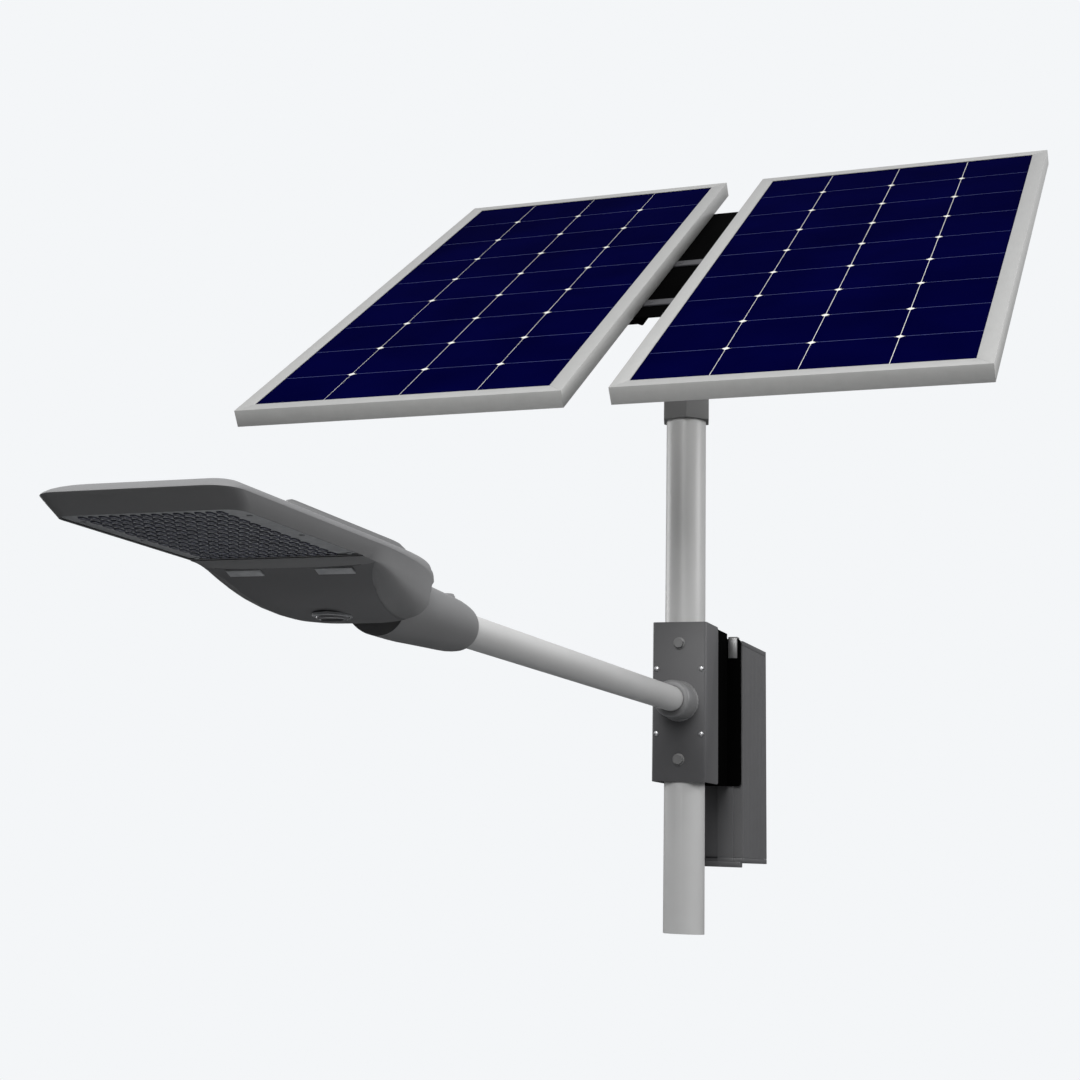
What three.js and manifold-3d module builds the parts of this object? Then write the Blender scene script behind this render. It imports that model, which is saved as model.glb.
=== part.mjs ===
// Solar street lamp head: twin photovoltaic panels on a tilting carrier, a pole-top section,
// a battery box clamped behind the pole, and a horizontal arm with a tilting LED luminaire.
// Millimetres, +Z up. The origin is the centre of the pole's lower end.
// -Y is the way the lamp arm points and +X is to the right of someone facing the lamp.

import * as THREE from 'three';
import { mergeVertices } from 'three/addons/utils/BufferGeometryUtils.js';
import Module from 'manifold-3d';

const wasm = await Module();
wasm.setup();

// ---- driving dimensions -------------------------------------------------------------------

const GAP = 0.3; // clearance kept between pieces that rest on each other

const POLE = { radius: 41.5, wall: 3, height: 1210 };
const BRACKET_Z = 460; // height of the bracket's centre and of the lamp arm's axis

const BRACKET = { width: 114, height: 324, sheet: 4, back: 52 };
const THROUGH_BOLT = { radius: 6, head: 10.5, hole: 6.5, reach: 118 };
const PLATE_SCREW = { radius: 3, head: 5.5, x: 47, z: 66 };
const CLAMP = { half: 52.5, sheet: 4, front: 8, back: 151 };
const BACK_PLATE = { half: 80, sheet: 4, front: 152 };

const BOX = { half: 83, front: 158, back: 383, wall: 6, top: 146, bottom: -316, cap: 10 };
const BOX_RIB = { inner: 28, outer: 62, step: 4, recess: 6 };

const ARM = { radius: 25.4, wall: 3, start: 47, end: 1330 };
const SOCKET = { radius: 38, length: 60 };
const SLEEVE = { start: 1262, end: 1576, mouth: 36, middle: 40, body: 46, bore: 25.8 };

const LAMP = {
  half: 123, front: 2205, chin: 2163, pivotY: -1540, pivotZ: 10,
  bottom: 11, rim: 34, step: 44, top: 52, skin: 4, fin: 6,
};
const LAMP_REAR = { shoulder: 1830, skirtFront: 1735, skirtBottom: -20, ear: 1500 };

const COLLAR = { across: 47.3, bottom: 595, top: 755 };
const COLLAR_TURN = THREE.MathUtils.degToRad(15);
const PIVOT_Z = 845; // tilt axis above the bracket's centre
const REST_TILT = 34; // degrees

const PANEL = { width: 670, length: 1470, depth: 34, lip: 31, wall: 2, groove: -7.4, grooveTop: -1.8 };
const PANEL_GAP = 90; // between the two panels' frames
const PANEL_TOP = 102; // face of the panels above the tilt axis
const PANEL_MID = -30; // middle of the panels along the slope from the tilt axis
const SPINE = { half: 60, sheet: 4, depth: 47, low: -245, high: 540 };
const RAIL_AT = [-160, 120, 470]; // along the slope from the tilt axis
const RAIL = { width: 40, depth: 36, sheet: 3, reach: 690 };

// ---- solid helpers ------------------------------------------------------------------------

function solid(geometry) {
  const bare = geometry.clone();
  bare.deleteAttribute('normal');
  bare.deleteAttribute('uv');
  const merged = mergeVertices(bare, 1e-4);
  const mesh = new wasm.Mesh({
    numProp: 3,
    vertProperties: new Float32Array(merged.attributes.position.array),
    triVerts: new Uint32Array(merged.index.array),
  });
  return new wasm.Manifold(mesh);
}

function surface(manifold) {
  const mesh = manifold.getMesh();
  const geometry = new THREE.BufferGeometry();
  geometry.setAttribute('position', new THREE.BufferAttribute(mesh.vertProperties, 3));
  geometry.setIndex(new THREE.BufferAttribute(mesh.triVerts, 1));
  const flat = geometry.toNonIndexed();
  flat.computeVertexNormals();
  return flat;
}

function join(...pieces) {
  return pieces.reduce((whole, piece) => whole.add(piece));
}

function cut(whole, ...tools) {
  return tools.reduce((left, tool) => left.subtract(tool), whole);
}

function block(x0, x1, y0, y1, z0, z1) {
  const geometry = new THREE.BoxGeometry(x1 - x0, y1 - y0, z1 - z0);
  geometry.translate((x0 + x1) / 2, (y0 + y1) / 2, (z0 + z1) / 2);
  return solid(geometry);
}

// A rod from one coordinate to another along 'x', 'y' or 'z', through the point (a, b) in the
// other two axes, taken in x, y, z order. The end radius makes it a cone.
function rod(axis, from, to, a, b, radius, endRadius = radius, segments = 24, turn = 0) {
  const geometry = new THREE.CylinderGeometry(endRadius, radius, to - from, segments);
  geometry.rotateY(turn);
  geometry.translate(0, (from + to) / 2, 0);
  if (axis === 'x') {
    geometry.rotateZ(-Math.PI / 2);
    geometry.translate(0, a, b);
  } else if (axis === 'y') {
    geometry.translate(a, 0, b);
  } else {
    geometry.rotateX(Math.PI / 2);
    geometry.translate(a, b, 0);
  }
  return solid(geometry);
}

// A closed outline in x, y drawn up from z0 to z1.
function prism(shape, z0, z1, curveSegments = 6) {
  const options = { depth: z1 - z0, bevelEnabled: false, curveSegments };
  const geometry = new THREE.ExtrudeGeometry(shape, options);
  geometry.translate(0, 0, z0);
  return solid(geometry);
}

// A side profile given as [y, z] points, drawn from x0 to x1.
function sideProfile(points, x0, x1) {
  const shape = new THREE.Shape(points.map(([y, z]) => new THREE.Vector2(y, z)));
  const geometry = new THREE.ExtrudeGeometry(shape, { depth: x1 - x0, bevelEnabled: false });
  geometry.rotateY(Math.PI / 2);
  geometry.rotateX(Math.PI / 2);
  geometry.translate(x0, 0, 0);
  return solid(geometry);
}

// ---- materials and scene graph ------------------------------------------------------------

const material = (color, roughness, metalness) =>
  new THREE.MeshStandardMaterial({ color, roughness, metalness });

const MATERIALS = {
  pole: material(0xb4b3b2, 0.45, 0.3),
  steel: material(0x9a9da1, 0.4, 0.8),
  charcoal: material(0x565656, 0.5, 0.2),
  black: material(0x0b0b0c, 0.5, 0.2),
  aluminium: material(0xbcc2c3, 0.4, 0.7),
  cells: material(0x020230, 0.15, 0.1),
  plastic: material(0x1b1b1d, 0.6, 0),
  casting: material(0x6a6b6d, 0.5, 0.3),
  lens: material(0x777c88, 0.2, 0),
  board: material(0xd8d8d4, 0.5, 0.1),
  rubber: material(0x141414, 0.9, 0),
};

const lampPost = new THREE.Group();
const bracketZone = new THREE.Group();
bracketZone.position.z = BRACKET_Z;
const panelZone = new THREE.Group();
panelZone.position.z = BRACKET_Z + PIVOT_Z;
panelZone.rotation.x = THREE.MathUtils.degToRad(REST_TILT);
lampPost.add(bracketZone, panelZone);

function place(zone, name, manifold, finish) {
  const mesh = new THREE.Mesh(surface(manifold), MATERIALS[finish]);
  mesh.name = name;
  zone.add(mesh);
}

// ---- pole and its top collar --------------------------------------------------------------

function addPole() {
  const inner = POLE.radius - POLE.wall;
  const throughHoles = [-1, 1].map((side) => {
    const z = BRACKET_Z + side * THROUGH_BOLT.reach;
    return rod('y', -60, 60, 0, z, THROUGH_BOLT.hole, THROUGH_BOLT.hole, 16);
  });
  const pole = cut(
    rod('z', 0, POLE.height, 0, 0, POLE.radius, POLE.radius, 48),
    rod('z', -1, POLE.height + 1, 0, 0, inner, inner, 48),
    ...throughHoles,
  );
  place(lampPost, 'pole', pole, 'pole');
}

// Six-sided sleeve that slips over the pole's end, with a corner turned to its right front.
function hexRod(z0, z1, across) {
  const corner = across / Math.cos(Math.PI / 6);
  return rod('z', z0, z1, 0, 0, corner, corner, 6, COLLAR_TURN);
}

// Turns a piece made for the pole's back so that it stands square on the collar's rear face.
function spin(manifold) {
  const geometry = surface(manifold);
  geometry.rotateZ(-COLLAR_TURN);
  return solid(geometry);
}

function addCollar() {
  const bore = POLE.radius + 0.4;
  const screwZ = COLLAR.bottom + 40;
  const collar = cut(
    hexRod(COLLAR.bottom, COLLAR.top - GAP, COLLAR.across),
    rod('z', COLLAR.bottom - 1, COLLAR.top + 1, 0, 0, bore, bore, 48),
    spin(rod('y', 35, 70, 0, screwZ, 5.3, 5.3, 16)),
    spin(rod('y', 35, 70, 0, screwZ + 70, 5.3, 5.3, 16)),
  );
  place(bracketZone, 'pole_collar', collar, 'charcoal');

  [screwZ, screwZ + 70].forEach((z, index) => {
    const shank = rod('y', POLE.radius + GAP, 50, 0, z, 5, 5, 16);
    const head = rod('y', COLLAR.across + GAP, 55, 0, z, 8.5, 8.5, 6);
    place(bracketZone, `collar_set_screw_${index + 1}`, spin(join(shank, head)), 'steel');
  });

  const cap = hexRod(COLLAR.top, COLLAR.top + 8, COLLAR.across);
  const cheeks = [-1, 1].map((side) => {
    const inner = side > 0 ? 36 : -44;
    const plate = block(inner, inner + 8, -26, 26, COLLAR.top + 4, PIVOT_Z);
    const round = rod('x', inner, inner + 8, 0, PIVOT_Z, 26);
    return join(plate, round);
  });
  const yoke = cut(join(cap, ...cheeks), rod('x', -60, 60, 0, PIVOT_Z, 8.3));
  place(bracketZone, 'tilt_yoke', yoke, 'charcoal');

  const bolt = join(rod('x', -57, 64, 0, PIVOT_Z, 8), rod('x', -64, -57, 0, PIVOT_Z, 12.5, 12.5, 6));
  place(bracketZone, 'tilt_pivot_bolt', bolt, 'steel');
  const nut = cut(
    rod('x', 57, 67, 0, PIVOT_Z, 12.5, 12.5, 6),
    rod('x', 50, 70, 0, PIVOT_Z, 8.15),
  );
  place(bracketZone, 'tilt_pivot_nut', nut, 'steel');
}

// ---- arm bracket, rear clamp and battery box ----------------------------------------------

const BRACKET_BACK_FACE = -(POLE.radius + GAP);
const BRACKET_FRONT_FACE = BRACKET_BACK_FACE - BRACKET.sheet;

function boltHoles(radius, from, to) {
  return [-1, 1].map((side) =>
    rod('y', from, to, 0, side * THROUGH_BOLT.reach, radius, radius, 16));
}

function screwPlaces() {
  return [[-1, 1], [1, 1], [-1, -1], [1, -1]].map(([sx, sz]) =>
    [sx * PLATE_SCREW.x, sz * PLATE_SCREW.z]);
}

function addArmBracket() {
  const half = BRACKET.width / 2;
  const tall = BRACKET.height / 2;
  const outer = block(-half, half, BRACKET_FRONT_FACE, BRACKET.back, -tall, tall);
  const flange = half - BRACKET.sheet;
  const hollow = block(-flange, flange, BRACKET_BACK_FACE, BRACKET.back + 1, -tall - 1, tall + 1);
  const screwHoles = screwPlaces().map(([x, z]) =>
    rod('y', -60, -30, x, z, PLATE_SCREW.radius + 0.3, PLATE_SCREW.radius + 0.3, 12));
  const cableHole = rod('y', -60, -30, 0, 0, 16);
  const channel = cut(outer, hollow, ...boltHoles(THROUGH_BOLT.hole, -60, -30), ...screwHoles, cableHole);
  place(bracketZone, 'arm_bracket', channel, 'charcoal');

  [['upper', 1], ['lower', -1]].forEach(([where, side]) => {
    const z = side * THROUGH_BOLT.reach;
    const { radius: r, head: headRadius } = THROUGH_BOLT;
    const headBack = BRACKET_FRONT_FACE - GAP;
    const shank = rod('y', headBack - 1, 160, 0, z, r, r, 16);
    const head = rod('y', headBack - 8, headBack, 0, z, headRadius, headRadius, 6);
    place(bracketZone, `through_bolt_${where}`, join(shank, head), 'steel');
    const nut = cut(
      rod('y', CLAMP.back + GAP, CLAMP.back + 9, 0, z, headRadius, headRadius, 6),
      rod('y', 140, 170, 0, z, r + 0.15, r + 0.15, 16),
    );
    place(bracketZone, `through_nut_${where}`, nut, 'steel');
  });

  const corners = ['top_left', 'top_right', 'bottom_left', 'bottom_right'];
  screwPlaces().forEach(([x, z], index) => {
    const face = BRACKET_FRONT_FACE - GAP;
    const shank = rod('y', face - 1, -36, x, z, PLATE_SCREW.radius, PLATE_SCREW.radius, 12);
    const head = rod('y', face - 3.5, face, x, z, PLATE_SCREW.head - 1.5, PLATE_SCREW.head, 16);
    place(bracketZone, `bracket_screw_${corners[index]}`, join(shank, head), 'steel');
  });
}

function addRearClamp() {
  const tall = BRACKET.height / 2 - 2;
  const outer = block(-CLAMP.half, CLAMP.half, CLAMP.front, CLAMP.back, -tall, tall);
  const inside = CLAMP.half - CLAMP.sheet;
  const innerFace = CLAMP.back - CLAMP.sheet;
  const hollow = block(-inside, inside, CLAMP.front - 1, innerFace, -tall - 1, tall + 1);
  place(bracketZone, 'rear_clamp', cut(outer, hollow, ...boltHoles(THROUGH_BOLT.hole, 140, 160)), 'black');

  const y0 = BACK_PLATE.front;
  const plate = block(-BACK_PLATE.half, BACK_PLATE.half, y0, y0 + BACK_PLATE.sheet, -tall, 150);
  place(bracketZone, 'battery_back_plate', cut(plate, ...boltHoles(14, 145, 165)), 'black');
}

function ribbedOutline(grow) {
  const half = BOX.half + grow;
  const front = BOX.front - grow;
  const back = BOX.back + grow;
  const step = front + BOX_RIB.step;
  const recess = front + BOX_RIB.recess;
  const points = [
    [-half, back], [-half, step], [-BOX_RIB.outer, step], [-BOX_RIB.outer, front],
    [-BOX_RIB.inner, front], [-BOX_RIB.inner, recess], [BOX_RIB.inner, recess],
    [BOX_RIB.inner, front], [BOX_RIB.outer, front], [BOX_RIB.outer, step], [half, step],
    [half, back],
  ];
  return new THREE.Shape(points.map(([x, y]) => new THREE.Vector2(x, y)));
}

function addBatteryBox() {
  const floor = BOX.bottom + BOX.cap;
  const roof = BOX.top - BOX.cap;
  const side = BOX.half - BOX.wall;
  const bore = block(-side, side, BOX.front + 12, BOX.back - BOX.wall, floor - 1, roof + 1);
  const body = cut(prism(ribbedOutline(0), floor + GAP, roof - GAP), bore);
  place(bracketZone, 'battery_case', body, 'charcoal');

  const lid = prism(ribbedOutline(0), roof, BOX.top);
  place(bracketZone, 'battery_cap_top', lid, 'charcoal');

  const glandPlaces = [[-35, 270], [35, 270]];
  const glandHoles = glandPlaces.map(([x, y]) => rod('z', BOX.bottom - 1, floor + 1, x, y, 8.3));
  const foot = block(-78, 78, BOX.front - 6, BOX.front + 20, BOX.bottom - 10, BOX.bottom + 1);
  const base = cut(join(prism(ribbedOutline(0), BOX.bottom, floor), foot), ...glandHoles);
  place(bracketZone, 'battery_cap_bottom', base, 'charcoal');

  glandPlaces.forEach(([x, y], index) => {
    const gland = cut(
      join(
        rod('z', BOX.bottom - 5, BOX.bottom - GAP, x, y, 12, 12, 6),
        rod('z', BOX.bottom - 9, BOX.bottom - 4, x, y, 8.5, 10, 16),
        rod('z', BOX.bottom - 1, floor + 4, x, y, 8, 8, 16),
      ),
      rod('z', BOX.bottom - 30, floor + 20, x, y, 4, 4, 12),
    );
    place(bracketZone, `cable_gland_${index + 1}`, gland, 'plastic');
  });

  const pack = block(-72, 72, BOX.front + 20, BOX.back - 14, floor + 30, floor + 330);
  place(bracketZone, 'battery_pack', pack, 'plastic');
  const controller = block(-60, 60, BOX.front + 30, BOX.back - 60, floor + 345, floor + 390);
  place(bracketZone, 'charge_controller', controller, 'aluminium');

  [['left', -1], ['right', 1]].forEach(([where, side]) => {
    const x0 = side > 0 ? 54 : -73;
    const y1 = BACK_PLATE.front - GAP;
    const hook = join(
      block(x0, x0 + 19, y1 - 4, y1, 108, 154),
      block(x0, x0 + 19, y1 - 4, BOX.front + 12, 150.5, 154),
    );
    place(bracketZone, `box_hook_${where}`, hook, 'steel');
  });
}

// ---- lamp arm -----------------------------------------------------------------------------

function addArm() {
  const from = -ARM.end;
  const to = -ARM.start;
  const bore = ARM.radius - ARM.wall;
  const tube = cut(
    rod('y', from, to, 0, 0, ARM.radius, ARM.radius, 40),
    rod('y', from - 1, to + 1, 0, 0, bore, bore, 40),
  );
  place(bracketZone, 'lamp_arm', tube, 'pole');

  const plateFace = BRACKET_FRONT_FACE - GAP;
  const socketEnd = plateFace - SOCKET.length;
  const fit = ARM.radius + 0.4;
  const socket = cut(
    join(
      rod('y', socketEnd + 6, plateFace, 0, 0, SOCKET.radius, SOCKET.radius, 40),
      rod('y', socketEnd, socketEnd + 6, 0, 0, SOCKET.radius - 5, SOCKET.radius, 40),
    ),
    rod('y', socketEnd - 1, plateFace + 1, 0, 0, fit, fit, 40),
  );
  place(bracketZone, 'arm_socket', socket, 'casting');
}

// The sleeve clamps on the arm's end and reaches into the lamp's neck, where it carries the pivot.
function addSleeve() {
  const from = -SLEEVE.start;
  const body = join(
    rod('y', from - 8, from, 0, 0, SLEEVE.mouth, SLEEVE.mouth - 3, 32),
    rod('y', from - 48, from - 8, 0, 0, SLEEVE.middle, SLEEVE.mouth, 32),
    rod('y', from - 218, from - 48, 0, 0, SLEEVE.body, SLEEVE.middle, 32),
    rod('y', -SLEEVE.end, from - 218, 0, 0, SLEEVE.body, SLEEVE.body, 32),
  );
  // The head is cut flat on top and slanted in front, so that the lamp can tilt round it.
  const headTop = block(-60, 60, -1600, -1480, 32, 60);
  const headFront = sideProfile([[-1600, -60], [-1544, -60], [-1576, 33], [-1600, 33]], -60, 60);
  const bore = rod('y', -ARM.end - 4, -SLEEVE.start + 1, 0, 0, SLEEVE.bore, SLEEVE.bore, 40);
  const hollow = rod('y', -1500, -ARM.end, 0, 0, 21, 21, 24);
  const bossY = -SLEEVE.start - 43;
  const boss = rod('z', 34, 44.5, 0, bossY, 9, 9, 16);
  const screwHole = rod('z', 24, 60, 0, bossY, 4.3, 4.3, 12);
  const pinHole = rod('x', -60, 60, LAMP.pivotY, LAMP.pivotZ, 6.3, 6.3, 20);
  const sleeve = cut(join(body, boss), headTop, headFront, bore, hollow, screwHole, pinHole);
  place(bracketZone, 'spigot_sleeve', sleeve, 'casting');

  const screw = rod('z', ARM.radius + GAP, 44, 0, bossY, 4, 4, 12);
  place(bracketZone, 'sleeve_clamp_screw', screw, 'steel');
  const pivotBolt = rod('x', -59, 59, LAMP.pivotY, LAMP.pivotZ, 6, 6, 20);
  place(bracketZone, 'lamp_pivot_bolt', pivotBolt, 'steel');
}

// ---- luminaire ----------------------------------------------------------------------------

// Plan outline of the housing, drawn in by an inset: straight sides, round front corners and
// a rear that narrows to the neck.
function lampOutline(side, ahead = side, behind = side) {
  const w = LAMP.half - side;
  const front = -LAMP.front + ahead;
  const corner = 40;
  const neck = 60 - behind;
  const rear = -LAMP_REAR.ear + 8 - behind;
  const shape = new THREE.Shape();
  shape.moveTo(-w + corner, front);
  shape.lineTo(w - corner, front);
  shape.quadraticCurveTo(w - 3, front + 3, w, front + corner);
  shape.lineTo(w, -LAMP_REAR.shoulder);
  shape.bezierCurveTo(w, -1720, neck + 30, -1600, neck, rear - 18);
  shape.lineTo(neck - 4, rear);
  shape.lineTo(-neck + 4, rear);
  shape.lineTo(-neck, rear - 18);
  shape.bezierCurveTo(-neck - 30, -1600, -w, -1720, -w, -LAMP_REAR.shoulder);
  shape.lineTo(-w, front + corner);
  shape.quadraticCurveTo(-w + 3, front + 3, -w + corner, front);
  return shape;
}

function addLampHousing() {
  const rimSlab = prism(lampOutline(0, 4, 0), LAMP.bottom, LAMP.rim, 8);
  const shoulder = prism(lampOutline(12, 24, 1), LAMP.rim - 1, LAMP.step, 8);
  const crown = prism(lampOutline(30, 52, 3), LAMP.step - 1, LAMP.top, 8);
  const skirtZone = block(-150, 150, -LAMP_REAR.skirtFront, -1400, LAMP_REAR.skirtBottom, LAMP.rim);
  const skirt = prism(lampOutline(0), LAMP_REAR.skirtBottom, LAMP.rim - 1, 8).intersect(skirtZone);
  const cavityZone = block(-150, 150, -LAMP.chin, -1400, -60, 60);
  const cavity = prism(lampOutline(LAMP.skin), -60, LAMP.rim - LAMP.skin, 8).intersect(cavityZone);
  const stepCavity = prism(lampOutline(16, 46, 5), LAMP.rim - 5, LAMP.step - LAMP.skin, 8);
  const crownCavity = prism(lampOutline(34, 60, 7), LAMP.step - 5, LAMP.top - LAMP.skin, 8);
  // The underside of the front slopes up from the lens to the rim's sharp edge.
  const chin = [[-2215, 5], [-LAMP.chin, 5], [-LAMP.chin, 11.5], [-2202, 29], [-2215, 29]];
  const slope = sideProfile(chin, -150, 150);
  // The neck's lower rear corner is cut back on a slant, and its rear wall is open.
  const slant = sideProfile([[-1639, -60], [-1450, -60], [-1450, 44], [-1482, 44]], -80, 80);
  const neckOpening = block(-53, 53, -1530, -1470, -60, LAMP.step + 2);
  const pinHole = rod('x', -68, 68, LAMP.pivotY, LAMP.pivotZ, 6.3, 6.3, 20);
  const bosses = [-1, 1].map((side) => {
    const from = side > 0 ? 47.5 : -60;
    return rod('x', from, from + 12.5, LAMP.pivotY, LAMP.pivotZ, 15, 15, 20);
  });
  const fins = Array.from({ length: 9 }, (_, index) => {
    const x = (index - 4) * 20;
    return block(x - 1.5, x + 1.5, -1990, -1640, LAMP.step - 1, LAMP.top + LAMP.fin);
  });
  const body = join(rimSlab, shoulder, crown, skirt);
  const shell = cut(body, cavity, stepCavity, crownCavity, slope, slant, neckOpening);
  const housing = cut(join(shell, ...bosses, ...fins), pinHole);
  place(bracketZone, 'lamp_housing', housing, 'casting');
}

function addLightEngine() {
  const back = -LAMP_REAR.shoulder + 12;
  const sheet = (inset, z0, z1) => {
    const zone = block(-150, 150, -LAMP.chin - 6 + inset, back - inset, z0, z1);
    return prism(lampOutline(inset), z0, z1, 8).intersect(zone);
  };
  place(bracketZone, 'led_board', sheet(16, 24, 26), 'board');
  place(bracketZone, 'lens_gasket', cut(sheet(7, 18.3, 20.7), sheet(13, 10, 30)), 'rubber');
  place(bracketZone, 'lens_plate', sheet(7, 13, 18), 'lens');
  const driver = block(-38, 38, -1790, -1640, 0, 32);
  place(bracketZone, 'led_driver', driver, 'aluminium');
  const terminals = block(-24, 24, -1628, -1596, 12, 32);
  place(bracketZone, 'terminal_block', terminals, 'plastic');
}

// The driver cover is a tub: deep at its front, where it takes the housing's full width, and
// shallow under the skirt behind.
function coverProfile(inset) {
  const step = LAMP_REAR.skirtFront + 0.6;
  const rim = LAMP_REAR.skirtBottom - GAP;
  return [
    [-1812 + inset, 9 + inset * 4], [-1800 + inset, -4], [-1760 + inset / 2, -22 + inset],
    [-1705, -36 + inset], [-1650, -40 + inset], [-1600, -34 + inset], [-1577 - inset, -26 + inset],
    [-1577 - inset, rim + inset * 4], [-step - inset, rim + inset * 4], [-step - inset, 9 + inset * 4],
  ];
}

function addDriverCover() {
  const outline = prism(lampOutline(1), -60, 30, 8);
  const hollowOutline = prism(lampOutline(4), -60, 30, 8);
  const outer = sideProfile(coverProfile(0), -140, 140).intersect(outline);
  const inner = sideProfile(coverProfile(3), -137, 137).intersect(hollowOutline);
  // The tub is open inside from its deep front to its shallow back.
  const passage = block(-98, 98, -1756, -1720, -18, 30);
  const latchHole = rod('z', -60, 0, 0, -1690, 21.5, 21.5, 24);
  const hinge = rod('x', -60, 60, -1806, 12, 5, 5, 12);
  const hingeBore = rod('x', -61, 61, -1806, 12, 2.6, 2.6, 12);
  // Its front corners are cut back, so that they clear the housing's rim as it swings down.
  const corners = [-1, 1].map((side) => {
    const [x0, x1] = side > 0 ? [114, 130] : [-130, -114];
    return block(x0, x1, -1815, -1798, -60, 30);
  });
  const tub = join(cut(outer, inner, passage, ...corners), hinge);
  place(bracketZone, 'driver_cover', cut(tub, latchHole, hingeBore), 'charcoal');

  const pin = rod('x', -64, 64, -1806, 12, 2.3, 2.3, 12);
  place(bracketZone, 'cover_hinge_pin', pin, 'steel');

  const latch = join(
    rod('z', -43, -40, 0, -1690, 20, 21, 24),
    rod('z', -40, -31, 0, -1690, 21, 21, 24),
    block(-14, 14, -1693, -1687, -46, -42),
  );
  place(bracketZone, 'cover_latch', latch, 'plastic');
}

// ---- panels and their tilting carrier -----------------------------------------------------
// In this zone the origin is on the tilt axis, y runs up the slope and z is the panels' normal.

const FRAME_BOTTOM = PANEL_TOP - PANEL.depth;
const SPINE_TOP = FRAME_BOTTOM - GAP;

function addSpine() {
  const { half, sheet, depth, low, high } = SPINE;
  const outer = block(-half, half, low, high, SPINE_TOP - depth, SPINE_TOP);
  const hollow = block(-half + sheet, half - sheet, low - 1, high + 1, 0, SPINE_TOP - sheet);
  const lugs = [-1, 1].map((side) => {
    const inner = side > 0 ? 44.5 : -56.5;
    const plate = block(inner, inner + 12, -34, 34, 0, SPINE_TOP - sheet + 1);
    const round = rod('x', inner, inner + 12, 0, 0, 22);
    const lug = join(plate, round);
    return cut(lug, rod('x', -60, 60, 0, 0, 8.3));
  });
  // The flanges are cut back on a slant at the lower end.
  const under = SPINE_TOP - depth - 1;
  const mitre = sideProfile([[low - 1, SPINE_TOP - 5], [low - 1, under], [low + 95, under]], -70, 70);
  place(panelZone, 'carrier_spine', join(cut(outer, hollow, mitre), ...lugs), 'black');
}

function addRails() {
  [['left', -1], ['right', 1]].forEach(([where, side]) => {
    RAIL_AT.forEach((y, index) => {
      const xs = [side * (SPINE.half + GAP), side * RAIL.reach].sort((a, b) => a - b);
      const low = y - RAIL.width / 2;
      const flat = block(...xs, low, low + RAIL.width, SPINE_TOP - RAIL.sheet, SPINE_TOP);
      const web = block(...xs, low, low + RAIL.sheet, SPINE_TOP - RAIL.depth, SPINE_TOP - 1);
      place(panelZone, `panel_rail_${where}_${index + 1}`, join(flat, web), 'black');
    });
  });
  RAIL_AT.slice(0, 2).forEach((y, index) => {
    const half = PANEL_GAP / 2 - 1;
    const strap = block(-half, half, y - 18, y + 18, SPINE_TOP + GAP, SPINE_TOP + 4.3);
    place(panelZone, `spine_strap_${index + 1}`, strap, 'steel');
  });
}

function addPanel(where, side) {
  const middle = side * (PANEL_GAP + PANEL.width) / 2;
  const w = PANEL.width / 2;
  const l = PANEL.length / 2;
  const ring = (inset, z0, z1) => block(
    middle - w + inset, middle + w - inset,
    PANEL_MID - l + inset, PANEL_MID + l - inset,
    PANEL_TOP + z0, PANEL_TOP + z1,
  );
  const frame = cut(
    ring(0, -PANEL.depth, 0),
    ring(28, -PANEL.depth - 1, -9),
    ring(PANEL.lip, -10, 1),
    ring(PANEL.wall - 0.5, PANEL.groove, PANEL.grooveTop),
    ring(PANEL.wall, -PANEL.depth + 2, -9.4),
  );
  place(panelZone, `panel_frame_${where}`, frame, 'aluminium');
  const laminate = ring(PANEL.wall - 0.2, PANEL.groove + GAP, PANEL.grooveTop - GAP);
  place(panelZone, `panel_laminate_${where}`, laminate, 'cells');

  const boxY = PANEL_MID + l - 150;
  const under = PANEL_TOP + PANEL.groove - GAP;
  const junction = block(middle - 60, middle + 60, boxY - 50, boxY + 50, under - 22, under);
  place(panelZone, `junction_box_${where}`, junction, 'plastic');
}

addPole();
addCollar();
addArmBracket();
addRearClamp();
addBatteryBox();
addArm();
addSleeve();
addLampHousing();
addLightEngine();
addDriverCover();
addSpine();
addRails();
addPanel('left', -1);
addPanel('right', 1);

export default lampPost;
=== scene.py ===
import math

import bmesh
import bpy
from mathutils import Matrix, Vector


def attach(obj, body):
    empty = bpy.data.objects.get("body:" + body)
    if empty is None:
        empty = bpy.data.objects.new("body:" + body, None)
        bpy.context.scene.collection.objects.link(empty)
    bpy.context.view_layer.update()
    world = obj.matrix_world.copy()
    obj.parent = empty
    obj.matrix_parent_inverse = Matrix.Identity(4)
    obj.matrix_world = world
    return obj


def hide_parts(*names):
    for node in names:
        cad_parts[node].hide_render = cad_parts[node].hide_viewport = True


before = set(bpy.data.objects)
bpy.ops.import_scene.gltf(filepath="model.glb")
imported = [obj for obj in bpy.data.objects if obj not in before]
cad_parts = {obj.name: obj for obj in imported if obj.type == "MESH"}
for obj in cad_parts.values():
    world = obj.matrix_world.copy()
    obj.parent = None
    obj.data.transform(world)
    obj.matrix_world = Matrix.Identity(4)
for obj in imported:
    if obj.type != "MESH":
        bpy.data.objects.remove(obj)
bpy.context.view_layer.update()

# ---- frames of reference (all lengths below are millimetres) ------------------------------

MM = 0.001
BRACKET_Z = 460
TILT_BOLT_Z = 845
PIVOT_Z = BRACKET_Z + TILT_BOLT_Z
THROUGH_BOLT_Z = 118
TILT = math.radians(34)
POST = Matrix.Identity(4)
BRACKET = Matrix.Translation((0, 0, BRACKET_Z))
ARRAY = Matrix.Translation((0, 0, PIVOT_Z)) @ Matrix.Rotation(TILT, 4, "X")


# ---- materials ----------------------------------------------------------------------------

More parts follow.
